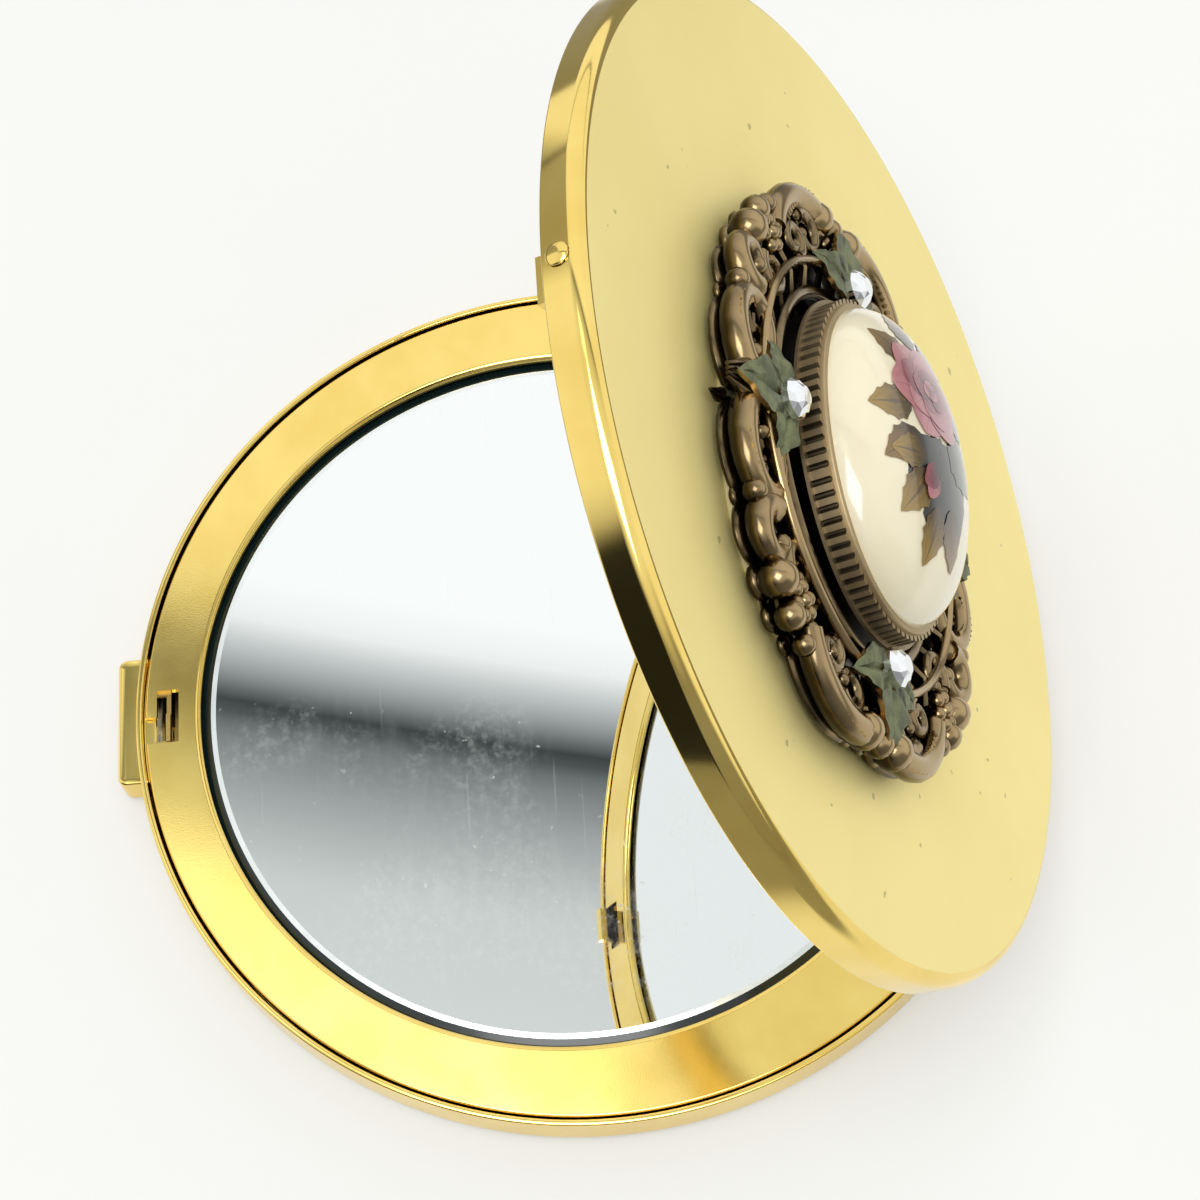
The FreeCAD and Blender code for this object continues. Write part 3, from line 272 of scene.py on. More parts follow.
def gold_plate(name, bright, shadow, roughness, peel):
    """Bright plating on brass: a faint unevenness of tone, hairline wear and a fine orange peel."""
    material, shader, place = new_finish(name, {"Metallic": 1.0})
    cloud = place.noise(180.0)
    grain = place.noise(9000.0, 2.0)
    feed(shader, "Base Color", cloud.step(0.3, 0.7).blend(shadow, bright))
    feed(shader, "Roughness", roughness + 0.05 * cloud + 0.03 * grain)
    feed(shader, "Normal", grain.bump(0.00001, peel))
    return material


gold_bright = (0.93, 0.71, 0.22, 1.0)
gold_shadow = (0.86, 0.63, 0.17, 1.0)
polished_gold = gold_plate("polished_gold", gold_bright, gold_shadow, 0.05, 0.04)

bpy.ops.object.select_all(action="DESELECT")
base_shell = drawn_cup("base_cup", base_rim, base_corner)
button_low, button_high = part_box("push_button")
window_half = button_half + window_clearance
button_back = 3 * shell_wall - case_radius
press_out(
    base_shell,
    (-window_half, -case_radius - base_corner, button_low.z - window_clearance),
    (window_half, button_back, button_high.z + window_clearance))
settle(base_shell)
dress(base_shell, polished_gold)
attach(base_shell, "base")
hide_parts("base_shell")

# Latch parts in the base: a bent brass bolt and guide, and a leaf spring of plain steel. The spring
# pushes the button out, and the bolt's bent-up edge shows in the ring's slot.
brass_sheet = gold_plate("brass_sheet", (0.46, 0.33, 0.105, 1.0), (0.32, 0.22, 0.068, 1.0), 0.30, 0.10)
spring_steel, shader, place = new_finish("spring_steel", {"Metallic": 1.0})
tone = place.noise(700.0)
feed(shader, "Base Color", tone.blend((0.30, 0.31, 0.33, 1.0), (0.48, 0.48, 0.48, 1.0)))
feed(shader, "Roughness", 0.22 + 0.12 * tone)
for name in ("latch_bolt", "latch_guide"):
    dress(frame["nodes"][name], brass_sheet)
dress(frame["nodes"]["button_spring"], spring_steel)

# Mirror pads: two discs of grey-brown board, punched from sheet, that bed the glass in base and lid.
# They are glued to the shells, and the glass hides them.
plain_board, shader, place = new_finish("plain_board", {"Roughness": 0.9})
fibres = place.noise(2500.0, 4.0)
feed(shader, "Base Color", fibres.blend((0.24, 0.20, 0.14, 1.0), (0.34, 0.29, 0.22, 1.0)))
feed(shader, "Normal", fibres.bump(0.0001, 0.5))
for name in ("base_mirror_pad", "lid_mirror_pad"):
    dress(frame["nodes"][name], plain_board)

# Base mirror: a round of silvered glass with a ground bevel, glued to a pad of board on the base's floor.
# Dust and fine wiping marks lie on its face, and its bevel is painted near black, a painted dark
# reflection.
mirror_low, mirror_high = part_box("base_mirror")
mirror_radius = mirror_high.x
mirror_centre_y = (mirror_low.y + mirror_high.y) / 2
mirror_face = mirror_high.z
mirror_back = mirror_low.z
bevel_width = 0.0017
bevel_depth = 0.0005
bevel_lip = 0.0004
bevel_fall = 0.85
mirror_lean = 0.036


def silvered_glass(name, lean):
    """Silvered glass with haze, dust specks and wiping marks, bedded with a slight lean to the hinge."""
    material, shader, place = new_finish(name, {"Base Color": (0.86, 0.885, 0.88, 1.0)})
    cloud = place.noise(90.0, 4.0)
    specks = place.noise(1500.0, 2.0).step(0.70, 0.76)
    smudge = place.noise(75.0, 2.0).step(0.54, 0.66) * place.noise(1300.0, 4.0, 0.7).step(0.42, 0.72)
    streaks = place.add(
        "ShaderNodeMapping", {}, {"Vector": place, "Scale": (160.0, 900.0, 1.0)}).noise(1.0, 3.0)
    haze = cloud.step(0.5, 0.75) * streaks.step(0.35, 0.8)
    wipes = place.add(
        "ShaderNodeMapping", {},
        {"Vector": place, "Rotation": (0, 0, 0.9), "Scale": (60.0, 2600.0, 1.0)}).noise(1.0, 1.0)
    dust = (
        haze * 0.12 + specks * cloud.step(0.45, 0.7) * 0.4 + wipes.step(0.70, 0.76) * 0.10
        + smudge * 0.14)
    feed(shader, "Metallic", 1.0 - dust)
    feed(shader, "Roughness", 0.004 + 0.25 * dust)
    tilt = -lean * place.split("Y")
    feed(shader, "Normal", tilt.bump(1.0, 1.0))
    return material


def glass_edge(name, colour, metallic, roughness):
    """Ground glass at the mirror's rim, slightly uneven, in the given colour, which on the bevel is a
    painted reflection.
    """
    material, shader, place = new_finish(name, {"Metallic": metallic, "IOR": 1.52})
    cloud = place.noise(600.0)
    pale = tuple(min(1.0, tone * 1.25) for tone in colour[:3]) + (1.0,)
    feed(shader, "Base Color", cloud.blend(colour, pale))
    feed(shader, "Roughness", roughness + 0.1 * cloud)
    return material


mirror_glass = silvered_glass("mirror_glass", mirror_lean)
# Painted reflection: the base glass's bevel is near black, standing in for the shade it would mirror.
bevel_painted_dark = glass_edge("bevel_painted_dark", (0.006, 0.014, 0.014, 1.0), 0.0, 0.05)
bevel_line = glass_edge("bevel_line", (0.75, 0.79, 0.79, 1.0), 0.6, 0.15)


def bevelled_mirror(name):
    """The glass as it lies in the base, face up."""
    depth = mirror_face - mirror_back
    bpy.ops.mesh.primitive_cylinder_add(
        vertices=round_steps, radius=mirror_radius, depth=depth,
        location=(0, mirror_centre_y, mirror_back + depth / 2))
    glass = take(name)
    pick(glass, "FACE", lambda face: face.normal.z > 0.9)
    bpy.ops.transform.translate(value=(0, 0, -bevel_depth))
    bpy.ops.mesh.inset(thickness=bevel_width - bevel_lip, depth=bevel_depth * bevel_fall)
    bpy.ops.mesh.inset(thickness=bevel_lip, depth=bevel_depth * (1 - bevel_fall))
    leave_edit()
    for material in (mirror_glass, bevel_painted_dark, bevel_line):
        glass.data.materials.append(material)
    lip_radius = mirror_radius - bevel_width + bevel_lip
    for face in glass.data.polygons:
        reach = math.hypot(face.center.x, face.center.y - mirror_centre_y)
        if face.normal.z < 0.98 and reach > lip_radius:
            face.material_index = 1
        elif 0.98 > face.normal.z or reach > lip_radius - bevel_lip:
            face.material_index = 2
    settle(glass, 5.0)
    return glass


base_mirror = bevelled_mirror("base_looking_glass")
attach(base_mirror, "base")
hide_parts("base_mirror")

# Base ring: a pressed bezel of the same plated sheet that holds the mirror down. It has a rolled lip
# round the glass, a fine groove beside the shell's wall and the slot that takes the lid's hook.
ring_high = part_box("base_ring")[1]
finer_groove = 0.00015
ring_radius = ring_high.x + finer_groove
ring_top = ring_high.z
opening_radius = 0.0289
lip_round = 0.00045
lip_depth = 0.00065
ring_round = 0.0002
ring_slope = 0.00018
slot_half = 0.0022
slot_front = -0.03334
slot_back = -0.03161
notch_half = 0.0079
notch_front = 0.0330


def bezel_ring(name):
    """The bezel as it lies in the base, face up: a sheet with a rolled lip round the glass."""
    opening_middle = (0, mirror_centre_y, ring_top)
    spread = ring_radius / opening_radius
    bpy.ops.mesh.primitive_circle_add(
        vertices=round_steps, radius=opening_radius, fill_type="NOTHING", location=opening_middle)
    ring = take(name)
    bpy.ops.mesh.select_all(action="SELECT")
    extrude((0, 0, 0))
    resize((spread, spread, 1), opening_middle)
    bpy.ops.transform.translate(value=(0, -mirror_centre_y, -ring_slope))
    extrude((0, 0, ring_slope - lip_depth))
    extrude((0, mirror_centre_y, 0))
    resize((1 / spread, 1 / spread, 1), opening_middle)
    extrude((0, 0, lip_depth))
    bpy.ops.mesh.select_all(action="SELECT")
    bpy.ops.mesh.remove_doubles(threshold=tiny)
    bpy.ops.mesh.normals_make_consistent(inside=False)
    pick_circle(ring, opening_radius, ring_top, mirror_centre_y)
    bpy.ops.mesh.bevel(offset=lip_round, segments=8, affect="EDGES")
    pick_circle(ring, ring_radius, ring_top - ring_slope)
    bpy.ops.mesh.bevel(offset=ring_round, segments=4, affect="EDGES")
    leave_edit()
    below = ring_top - 2 * lip_depth
    above = ring_top + lip_depth
    press_out(ring, (-slot_half, slot_front, below), (slot_half, slot_back, above))
    press_out(ring, (0, -case_radius, below), (slot_half, slot_front + tiny, above))
    press_out(ring, (-notch_half, notch_front, below), (notch_half, case_radius, above))
    return ring


ring_gold = gold_plate("ring_gold", gold_bright, gold_shadow, 0.06, 0.16)
base_ring = bezel_ring("base_bezel")
settle(base_ring)
dress(base_ring, ring_gold)
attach(base_ring, "base")
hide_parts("base_ring")

# Push button: a small plated block through the window in the front wall, with rounded front corners.
# It is held by a flange behind the wall and pressed outwards by a leaf spring.
button_round = 0.0007
button_edge = 0.00025
panel_border = 0.0003
panel_depth = 0.0001
bpy.ops.mesh.primitive_cube_add(
    size=1,
    location=(0, (button_low.y + button_back) / 2, (button_low.z + button_high.z) / 2),
    scale=(2 * button_half, button_back - button_low.y, button_high.z - button_low.z))
push_button = take("button_block")
pick(push_button, "EDGE", lambda edge: all(corner.co.y < button_low.y + tiny for corner in edge.verts)
     and abs(edge.verts[0].co.z - edge.verts[1].co.z) > tiny)
bpy.ops.mesh.bevel(offset=button_round, segments=6, affect="EDGES")
pick(push_button, "EDGE", lambda edge: len(edge.link_faces) == 2
     and edge.calc_face_angle() > math.radians(60)
     and min(corner.co.y for corner in edge.verts) < -case_radius)
bpy.ops.mesh.bevel(offset=button_edge, segments=4, affect="EDGES")
pick(push_button, "FACE", lambda face: face.normal.z > 0.99
     and face.calc_center_median().y < shell_wall - case_radius)
bpy.ops.mesh.inset(thickness=panel_border, depth=-panel_depth)
leave_edit()
settle(push_button)
dress(push_button, polished_gold)
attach(push_button, "button")
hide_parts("push_button")

# Hinge: two leaves of brass sheet, rolled into knuckles and soldered inside the shells. A steel pin
# runs through the knuckles and is held by the base's leaf.
for name in ("base_hinge_leaf", "lid_hinge_leaf"):
    dress(frame["nodes"][name], brass_sheet)
dress(frame["nodes"]["hinge_pin"], spring_steel)

# Lid shell: the second drawn cup, upside down on the base. Its flat face is brushed to a pale satin,
# and the rounded edge and the wall are left bright.
hinge = next(joint for joint in frame["joints"] if joint["name"] == "lid_hinge")
hinge_point = Vector(hinge["pos_m"])
open_angle = -math.radians(hinge["range_deg"][0])
lid_turn = (
    Matrix.Translation(hinge_point)
    @ Matrix.Rotation(open_angle, 4, Vector(hinge["axis"]))
    @ Matrix.Translation(-hinge_point))
parting_gap = 0.00015
lid_height = 0.0028
lid_rim = base_rim + parting_gap
lid_top = lid_rim + lid_height
lid_corner = 0.0010
notch_floor = 0.0004


def place_piece(piece, matrix):
    """Moves a finished form to its place and keeps that place in its mesh."""
    select_only(piece)
    piece.matrix_world = matrix
    bpy.ops.object.transform_apply(location=True, rotation=True, scale=True)


def lid_place(place):
    """The same place on the closed case, for patterns that lie square on the lid."""
    closed = lid_turn.inverted()
    return place.add(
        "ShaderNodeMapping", {},
        {"Vector": place, "Location": closed.to_translation(), "Rotation": closed.to_euler()})


def satin_plate(name, pale, deep):
    """Satin plating: short fine brush marks, a soft sheen and a few small dark scuffs."""
    material, shader, place = new_finish(name, {"Metallic": 0.55})
    flat = lid_place(place)
    cloud = flat.noise(70.0)
    grain = flat.noise(5200.0, 3.0)
    scuffs = flat.noise(900.0, 1.0).step(0.775, 0.80)
    tone = cloud.step(0.3, 0.7).blend(deep, pale)
    feed(shader, "Base Color", (scuffs * 0.5).blend(tone, (0.30, 0.23, 0.09, 1.0)))
    feed(shader, "Roughness", 0.54 + 0.08 * grain)
    feed(shader, "Normal", grain.bump(0.00002, 0.08))
    return material


satin_gold = satin_plate("satin_gold", (0.98, 0.845, 0.365, 1.0), (0.95, 0.81, 0.335, 1.0))
lid_shell = drawn_cup("lid_cup", lid_height, lid_corner)
press_out(
    lid_shell, (-notch_half, notch_front, notch_floor),
    (notch_half, case_radius + shell_wall, 2 * lid_height))
settle(lid_shell)
dress(lid_shell, polished_gold)
lid_shell.data.materials.append(satin_gold)
for face in lid_shell.data.polygons:
    if face.normal.z < -0.99 and face.center.z < shell_wall / 2:
        face.material_index = 1
turn_over = Matrix.Translation((0, 0, lid_top)) @ Matrix.Rotation(math.pi, 4, "Y")
place_piece(lid_shell, lid_turn @ turn_over)
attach(lid_shell, "lid")
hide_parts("lid_shell")

# Lid mirror and lid ring: the same bevelled glass and pressed bezel again, face down in the lid. The glass
# is bedded on its board, and the ring's skirt holds in the shell.
face_to_face = Matrix.Translation((0, 0, base_rim + lid_rim)) @ Matrix.Rotation(math.pi, 4, "Y")


def copy_of(piece, name):
    """A copy with its own mesh, free of what the first one rides on and stands for."""
    copy = piece.copy()
    copy.data = piece.data.copy()
    copy.name = name
    copy.data.name = name
    copy.parent = None
    for key in list(copy.keys()):
        del copy[key]
    bpy.context.scene.collection.objects.link(copy)
    return copy


lid_mirror = copy_of(base_mirror, "lid_looking_glass")
lid_mirror.data.materials[0] = silvered_glass("lid_glass", 0.0)
# Painted reflection: the lid glass's bevel is pale grey, a lit copy of the base's dark bevel.
lid_mirror.data.materials[1] = glass_edge("bevel_painted_pale", (0.55, 0.58, 0.58, 1.0), 0.9, 0.10)
place_piece(lid_mirror, lid_turn @ face_to_face)
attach(lid_mirror, "lid")
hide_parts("lid_mirror")
lid_ring = copy_of(base_ring, "lid_bezel")
dress(lid_ring, polished_gold)
place_piece(lid_ring, lid_turn @ face_to_face)
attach(lid_ring, "lid")
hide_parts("lid_ring")

# Lid hook and its rivet: a strip of plated brass, bent to a hook and held behind the lid's front wall
# by one round-headed rivet, whose polished head shows on the wall.
rivet_radius = 0.00082
rivet_rise = 0.00032
rivet_level = 0.0058
rivet_shank = 0.0006
shank_share = 0.6
dress(frame["nodes"]["lid_catch"], polished_gold)
bpy.ops.mesh.primitive_uv_sphere_add(
    segments=40, ring_count=20, radius=rivet_radius, location=(0, -case_radius, rivet_level),
    scale=(1, rivet_rise / rivet_radius, 1))
rivet = take("rivet_head")
bpy.ops.mesh.select_all(action="SELECT")
bpy.ops.mesh.bisect(
    plane_co=(0, -case_radius, 0), plane_no=(0, -1, 0), clear_inner=True, use_fill=True)
pick(rivet, "FACE", lambda face: face.normal.y > 0.9)
extrude((0, rivet_shank, 0))
resize((shank_share, 1, shank_share), (0, 0, rivet_level))
leave_edit()
settle(rivet, 50.0)
dress(rivet, polished_gold)
place_piece(rivet, lid_turn)
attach(rivet, "lid")
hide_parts("catch_rivet")

# Adhesive: clear glue under the ornament, squeezed out in a low glossy roll at the front.
# It has set hard, with a rounded edge and a wavy skin.
ornament_x = 0.0031
ornament_y = -0.0045
ornament_turn = math.radians(-1.5)
glue_length = 0.0164
glue_width = 0.0144
glue_film = 0.0003
bulge_radius = 0.0103
bulge_x = 0.00515
bulge_y = -0.0044
bulge_height = 0.0006
bulge_round = 0.9


def clear_glue(name):
    """Hardened glue: clear, faintly amber, with a wavy skin."""
    material, shader, place = new_finish(
        name, {"Transmission Weight": 0.5, "IOR": 1.42})
    cloud = place.noise(500.0)
    feed(shader, "Base Color", cloud.blend((0.93, 0.78, 0.40, 1.0), (0.97, 0.86, 0.52, 1.0)))
    feed(shader, "Roughness", 0.04 + 0.10 * cloud)
    feed(shader, "Normal", cloud.bump(0.0002, 0.15))
    return material


bpy.ops.mesh.primitive_cylinder_add(
    vertices=96, radius=1, depth=glue_film,
    location=(ornament_x, ornament_y, lid_top + glue_film / 2), scale=(glue_length, glue_width, 1))
glue_oval = take("glue_oval")
leave_edit()
bpy.ops.mesh.primitive_cylinder_add(
    vertices=96, radius=bulge_radius, depth=bulge_height,
    location=(ornament_x + bulge_x, ornament_y + bulge_y, lid_top + bulge_height / 2))
adhesive = take("glue_roll")
pick(adhesive, "EDGE", lambda edge: all(
    corner.co.z > lid_top + bulge_height - tiny for corner in edge.verts))
bpy.ops.mesh.bevel(offset=bulge_round * bulge_height, segments=6, affect="EDGES")
leave_edit()
combine(adhesive, glue_oval, "UNION")
settle(adhesive)
dress(adhesive, clear_glue("clear_glue"))
place_piece(adhesive, lid_turn)
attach(adhesive, "lid")
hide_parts("ornament_adhesive")

# Lower filigree: a stamping of thin brass, darkened and rubbed back, glued flat on the lid. Its edge is
# a chain of rounded scrolls that curl in to bead eyes, with beads between them and a point at the front.
lower_level = 0.00812
upper_level = 0.00960
lower_spread = 0.97
lower_press = 0.50
floor_drop = 0.00050
field_drop = 0.00110
floor_sheet = 0.00025
field_length = 0.0162
field_width = 0.0142
scroll_steps = 20
scroll_flat = 0.74
# One quarter of the edge, in millimetres from the ornament's centre along and across it: middle of the
# curl, its stretch along, first and last radius, first angle and sweep in degrees, first and last thickness
scrolls = [
    (4.1, 13.2, 1.30, 2.70, 1.05, 150, -345, 1.00, 0.55),
    (9.6, 13.0, 1.00, 1.80, 1.05, 190, -265, 1.02, 0.58),
    (10.6, 9.9, 1.00, 1.50, 0.75, 70, 300, 0.62, 0.38),
    (13.6, 3.2, 1.00, 5.85, 5.15, 82, -94, 0.90, 1.05),
    (16.4, 4.1, 1.00, 1.60, 0.70, 60, -310, 0.62, 0.38),
    (14.8, 6.3, 1.00, 1.25, 0.45, 215, 400, 0.55, 0.36),
]
beads = [
    (12.4, 12.6, 1.30), (14.4, 11.4, 1.00), (15.7, 9.8, 0.75), (18.8, 0.0, 1.00), (17.3, 0.95, 0.60),
    (7.4, 14.8, 0.80),
]
# Flower between the scrolls: its middle, the distance of its petals, and the radius of petals and eye
flower = (13.1, 10.3, 0.95, 0.52, 0.50)
flower_petals = 6
# Point at the front: its foot and its end in millimetres, and its thickness there
tip_foot = (0.7, 15.6)
tip_point = (0.9, 16.9)
tip_taper = [0.0005, 0.0001]
millimetre = 0.001
eye_swell = 1.25
widest_floor = 2.4
painted_shade_share = 0.75


def antique_brass_finish(name, deep, rubbed, roughness, low, high):
    """Brass darkened in a bath and rubbed back, so that it is brown in the hollows and golden on top."""
    material, shader, place = new_finish(name, {"Metallic": 1.0})
    level = lid_place(place).split("Z")
    cloud = place.noise(600.0, 3.0)
    wear = (level + 0.0007 * (cloud - 0.5)).step(low, high)
    feed(shader, "Base Color", wear.blend(deep, rubbed))
    feed(shader, "Roughness", roughness + 0.16 * cloud)
    feed(shader, "Normal", cloud.bump(0.00006, 0.12))
    return material


brass_brown = (0.032, 0.024, 0.014, 1.0)
brass_rubbed = (0.42, 0.305, 0.155, 1.0)
lower_brass = antique_brass_finish(
    "lower_brass", brass_brown, brass_rubbed, 0.12, lower_level - 0.0002, lower_level + 0.0007)
upper_brass = antique_brass_finish(
    "upper_brass", brass_brown, brass_rubbed, 0.12, upper_level - 0.0003, upper_level + 0.0010)
# Partly patina, partly painted shade: the finish of the hollows is near black.
hollow_patina_and_shade = antique_brass_finish(
    "hollow_patina_and_shade", (0.008, 0.0065, 0.005, 1.0), (0.055, 0.043, 0.028, 1.0), 0.30,
    lower_level, upper_level)


def quarter_point(along, across, level):
    """A point of the front right quarter of the ornament."""
    return Vector((ornament_x + along * millimetre, ornament_y - across * millimetre, level))


def bar(path, thickness, flat=1.0, sides=10):
    """Adds a round bar along a path: one section, extruded, turned and tapered from point to point."""
    ends = [path[0]] + path + [path[-1]]
    headings = [
        math.atan2(after.y - before.y, after.x - before.x) for before, after in zip(ends, ends[2:])]
    bpy.ops.mesh.select_all(action="DESELECT")
    bpy.ops.mesh.primitive_circle_add(
        vertices=sides, radius=thickness[0], fill_type="NGON", location=path[0],
        rotation=(math.pi / 2, 0, headings[0] + math.pi / 2), scale=(1, flat, 1))
    for index in range(1, len(path)):
        turn = math.remainder(headings[index] - headings[index - 1], 2 * math.pi)
        share = thickness[index] / thickness[index - 1]
        extrude(path[index] - path[index - 1])
        bpy.ops.transform.rotate(value=-turn, orient_axis="Z", center_override=path[index])
        resize((share, share, share), path[index])


def bead(middle, radius):
    """Adds one round bead."""
    bpy.ops.mesh.primitive_uv_sphere_add(segments=12, ring_count=8, radius=radius, location=middle)


def curl(scroll, level):
    """Adds one scroll: a tapered bar on a spiral, with a bead for its eye and a floor under it that takes
    painted shade.
    """
    along, across, stretch, wide, narrow, start, sweep, thick, thin = scroll
    path = []
    taper = []
    for step in range(scroll_steps + 1):
        share = step / scroll_steps
        angle = math.radians(start + sweep * share)
        radius = wide + (narrow - wide) * share ** 1.4
        path.append(quarter_point(
            along + stretch * radius * math.cos(angle), across + radius * math.sin(angle), level))
        taper.append((thick + (thin - thick) * share) * millimetre)
    bar(path, taper, scroll_flat, 12)
    bead(path[-1], eye_swell * taper[-1])
    bead(path[0], taper[0] * scroll_flat)
    bpy.ops.mesh.primitive_cylinder_add(
        vertices=24, radius=min(wide, widest_floor) * millimetre, depth=floor_sheet,
        location=quarter_point(along, across, level - floor_drop))


def to_four_quarters():
    """Mirrors a quarter across both axes of the ornament."""
    for flip in ((-1, 1, 1), (1, -1, 1)):
        bpy.ops.mesh.select_all(action="SELECT")
        bpy.ops.mesh.duplicate()
        resize(flip, (ornament_x, ornament_y, 0))


def scroll_edge(name, level):
    """The stamping's field and its edge of scrolls."""
    bpy.ops.mesh.primitive_cylinder_add(
        vertices=24, radius=scrolls[0][3] * millimetre, depth=floor_sheet,
        location=quarter_point(scrolls[0][0], scrolls[0][1], level - floor_drop))
    edge = take(name)
    for scroll in scrolls:
        curl(scroll, level)
    for along, across, radius in beads:
        bead(quarter_point(along, across, level), radius * millimetre)
    along, across, reach, petal_radius, eye_radius = flower
    bead(quarter_point(along, across, level + eye_radius * millimetre), eye_radius * millimetre)
    for petal in range(flower_petals):
        angle = 2 * math.pi * petal / flower_petals
        bead(quarter_point(along + reach * math.cos(angle), across + reach * math.sin(angle),
                           level + 0.6 * petal_radius * millimetre), petal_radius * millimetre)
    bpy.ops.mesh.primitive_cylinder_add(
        vertices=24, radius=2 * reach * millimetre, depth=floor_sheet,
        location=quarter_point(along, across, level - floor_drop))
    to_four_quarters()
    # The field lies low under the scrolls, where it carries the painted shade of the hollows.
    bpy.ops.mesh.primitive_cylinder_add(
        vertices=96, radius=1, depth=floor_sheet, location=(ornament_x, ornament_y, level - field_drop),
        scale=(field_length, field_width, 1))
    leave_edit()
    return edge


def brass_with_painted_hollows(piece, level, brass):
    """Gives a stamping its brass, and paints near-black shade, partly patina, on its floors, its field and
    the undersides of its bars.
    """
    dress(piece, brass)
    piece.data.materials.append(hollow_patina_and_shade)
    for face in piece.data.polygons:
        if face.center.z < level - painted_shade_share * floor_drop:
            face.material_index = 1


scroll_plate = scroll_edge("upper_stamping", upper_level)
filigree_lower = copy_of(scroll_plate, "lower_stamping")
select_only(filigree_lower)
bpy.ops.object.mode_set(mode="EDIT")
bpy.ops.mesh.select_mode(type="VERT")
bpy.ops.mesh.select_all(action="SELECT")
resize((lower_spread, lower_spread, lower_press), (ornament_x, ornament_y, upper_level))
bpy.ops.transform.translate(value=(0, 0, lower_level - upper_level))
bar([quarter_point(*tip_foot, lower_level), quarter_point(*tip_point, lower_level)], tip_taper)
leave_edit()
settle(filigree_lower, 50.0)
brass_with_painted_hollows(filigree_lower, lower_level, lower_brass)
ornament_axis = Matrix.Translation((ornament_x, ornament_y, 0))
ornament_spin = ornament_axis @ Matrix.Rotation(ornament_turn, 4, "Z") @ ornament_axis.inverted()
place_piece(filigree_lower, lid_turn @ ornament_spin)
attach(filigree_lower, "lid")
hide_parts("filigree_lower")

# Upper filigree: a second stamping from the same die, raised on a hub over the first. Combs of fine
# ribs fill its scrolls, and an oval wire with slender struts and a collar stand round the setting.
wire_length = 0.01485
wire_width = 0.0134
wire_half = 0.00034
wire_top = 0.01055
wire_stretch = 1.2
wire_level = wire_top - wire_stretch * wire_half
collar_length = 0.0130
collar_width = 0.0108
collar_half = 0.00055
collar_level = upper_level - 0.00015
rib_half = 0.00015
rib_lift = 0.00058
# Combs of ribs: middle, inner and outer radius in millimetres, first and last angle in degrees, count,
# and lift over the scrolls' middle
combs = [
    (4.1, 13.2, 0.3, 1.6, 0, 180, 8, 0.0),
    (9.6, 13.0, 0.2, 1.3, -30, 150, 7, 0.0),
    (10.6, 9.9, 0.3, 1.3, -90, 90, 6, 0.0),
    (16.2, 4.2, 1.0, 2.5, -50, 60, 8, 0.0),
    (13.6, 3.2, 4.8, 6.1, 4, 66, 12, rib_lift),
    (4.1, 13.2, 2.0, 3.1, 30, 120, 10, rib_lift),
]
# Struts under the wire: their angles, and in millimetres the reach along and across of foot, top and end
strut_angles = (12, 24, 36, 48, 60, 72, 82)
strut_stations = [
    (11.9, 9.2, upper_level - field_drop), (14.4, 12.9, wire_top - 2 * wire_half),
    (16.4, 14.2, upper_level - 0.5 * floor_drop)]
strut_taper = [0.00050, 0.00026, 0.00040]
# Ridges of the crest: distance from the middle, reach and level of three stations, and thickness there
ridges = (0.40, 1.20)
ridge_stations = [
    (1.0, 13.6, upper_level), (0.8, 15.4, upper_level + 0.0003), (0.4, 16.9, upper_level - 0.0002)]
ridge_taper = [0.0003, 0.00052, 0.00015]
# Small cone at each end: its place, foot and height in millimetres, and the share left at its top
cone_place = (17.4, 2.2)
cone_size = 0.9
cone_top = 0.25


def oval_wire(length, width, half, level, stretch):
    """Adds a wire bent to an oval round the ornament's centre."""
    centre = (ornament_x, ornament_y, level)
    bpy.ops.mesh.select_all(action="DESELECT")
    bpy.ops.mesh.primitive_torus_add(
        major_segments=128, minor_segments=8, major_radius=length, minor_radius=half, location=centre)
    resize((1, width / length, stretch), centre)


def join_into(piece, parts):
    """Joins finished parts to a piece, in one mesh."""
    select_only(piece)
    for part in parts:
        part.select_set(True)
    bpy.ops.object.join()


filigree_upper = scroll_plate
bpy.ops.mesh.primitive_cylinder_add(
    vertices=16, radius=cone_size * millimetre, depth=floor_sheet,
    location=quarter_point(*cone_place, upper_level - floor_drop))
fine_work = take("fine_work")
pick(fine_work, "FACE", lambda face: face.normal.z > 0.9)
extrude((0, 0, cone_size * millimetre))
resize((cone_top, cone_top, 1), quarter_point(*cone_place, upper_level))
bpy.ops.mesh.select_mode(type="VERT")
for along, across, inner, outer, first, last, count, lift in combs:
    for rib in range(count):
        angle = math.radians(first + (last - first) * rib / (count - 1))
        tooth = [quarter_point(
            along + reach * math.cos(angle), across + reach * math.sin(angle), upper_level + lift)
            for reach in (inner, outer)]
        bar(tooth, [rib_half, 1.5 * rib_half], 1.6, 6)
for angle in strut_angles:
    side = math.cos(math.radians(angle))
    front = math.sin(math.radians(angle))
    strut = [quarter_point(along * side, across * front, level) for along, across, level in strut_stations]
    bar(strut, strut_taper, 1.2, 6)
for ridge in ridges:
    crest = [quarter_point(share * ridge, across, level) for share, across, level in ridge_stations]
    bar(crest, ridge_taper)
to_four_quarters()
oval_wire(wire_length, wire_width, wire_half, wire_level, wire_stretch)
oval_wire(collar_length, collar_width, collar_half, collar_level, 1)
leave_edit()
join_into(filigree_upper, [fine_work])
settle(filigree_upper, 50.0)
brass_with_painted_hollows(filigree_upper, upper_level, upper_brass)
place_piece(filigree_upper, lid_turn @ ornament_spin)
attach(filigree_upper, "lid")
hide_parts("filigree_upper")
dress(frame["nodes"]["ornament_rivet"], upper_brass)

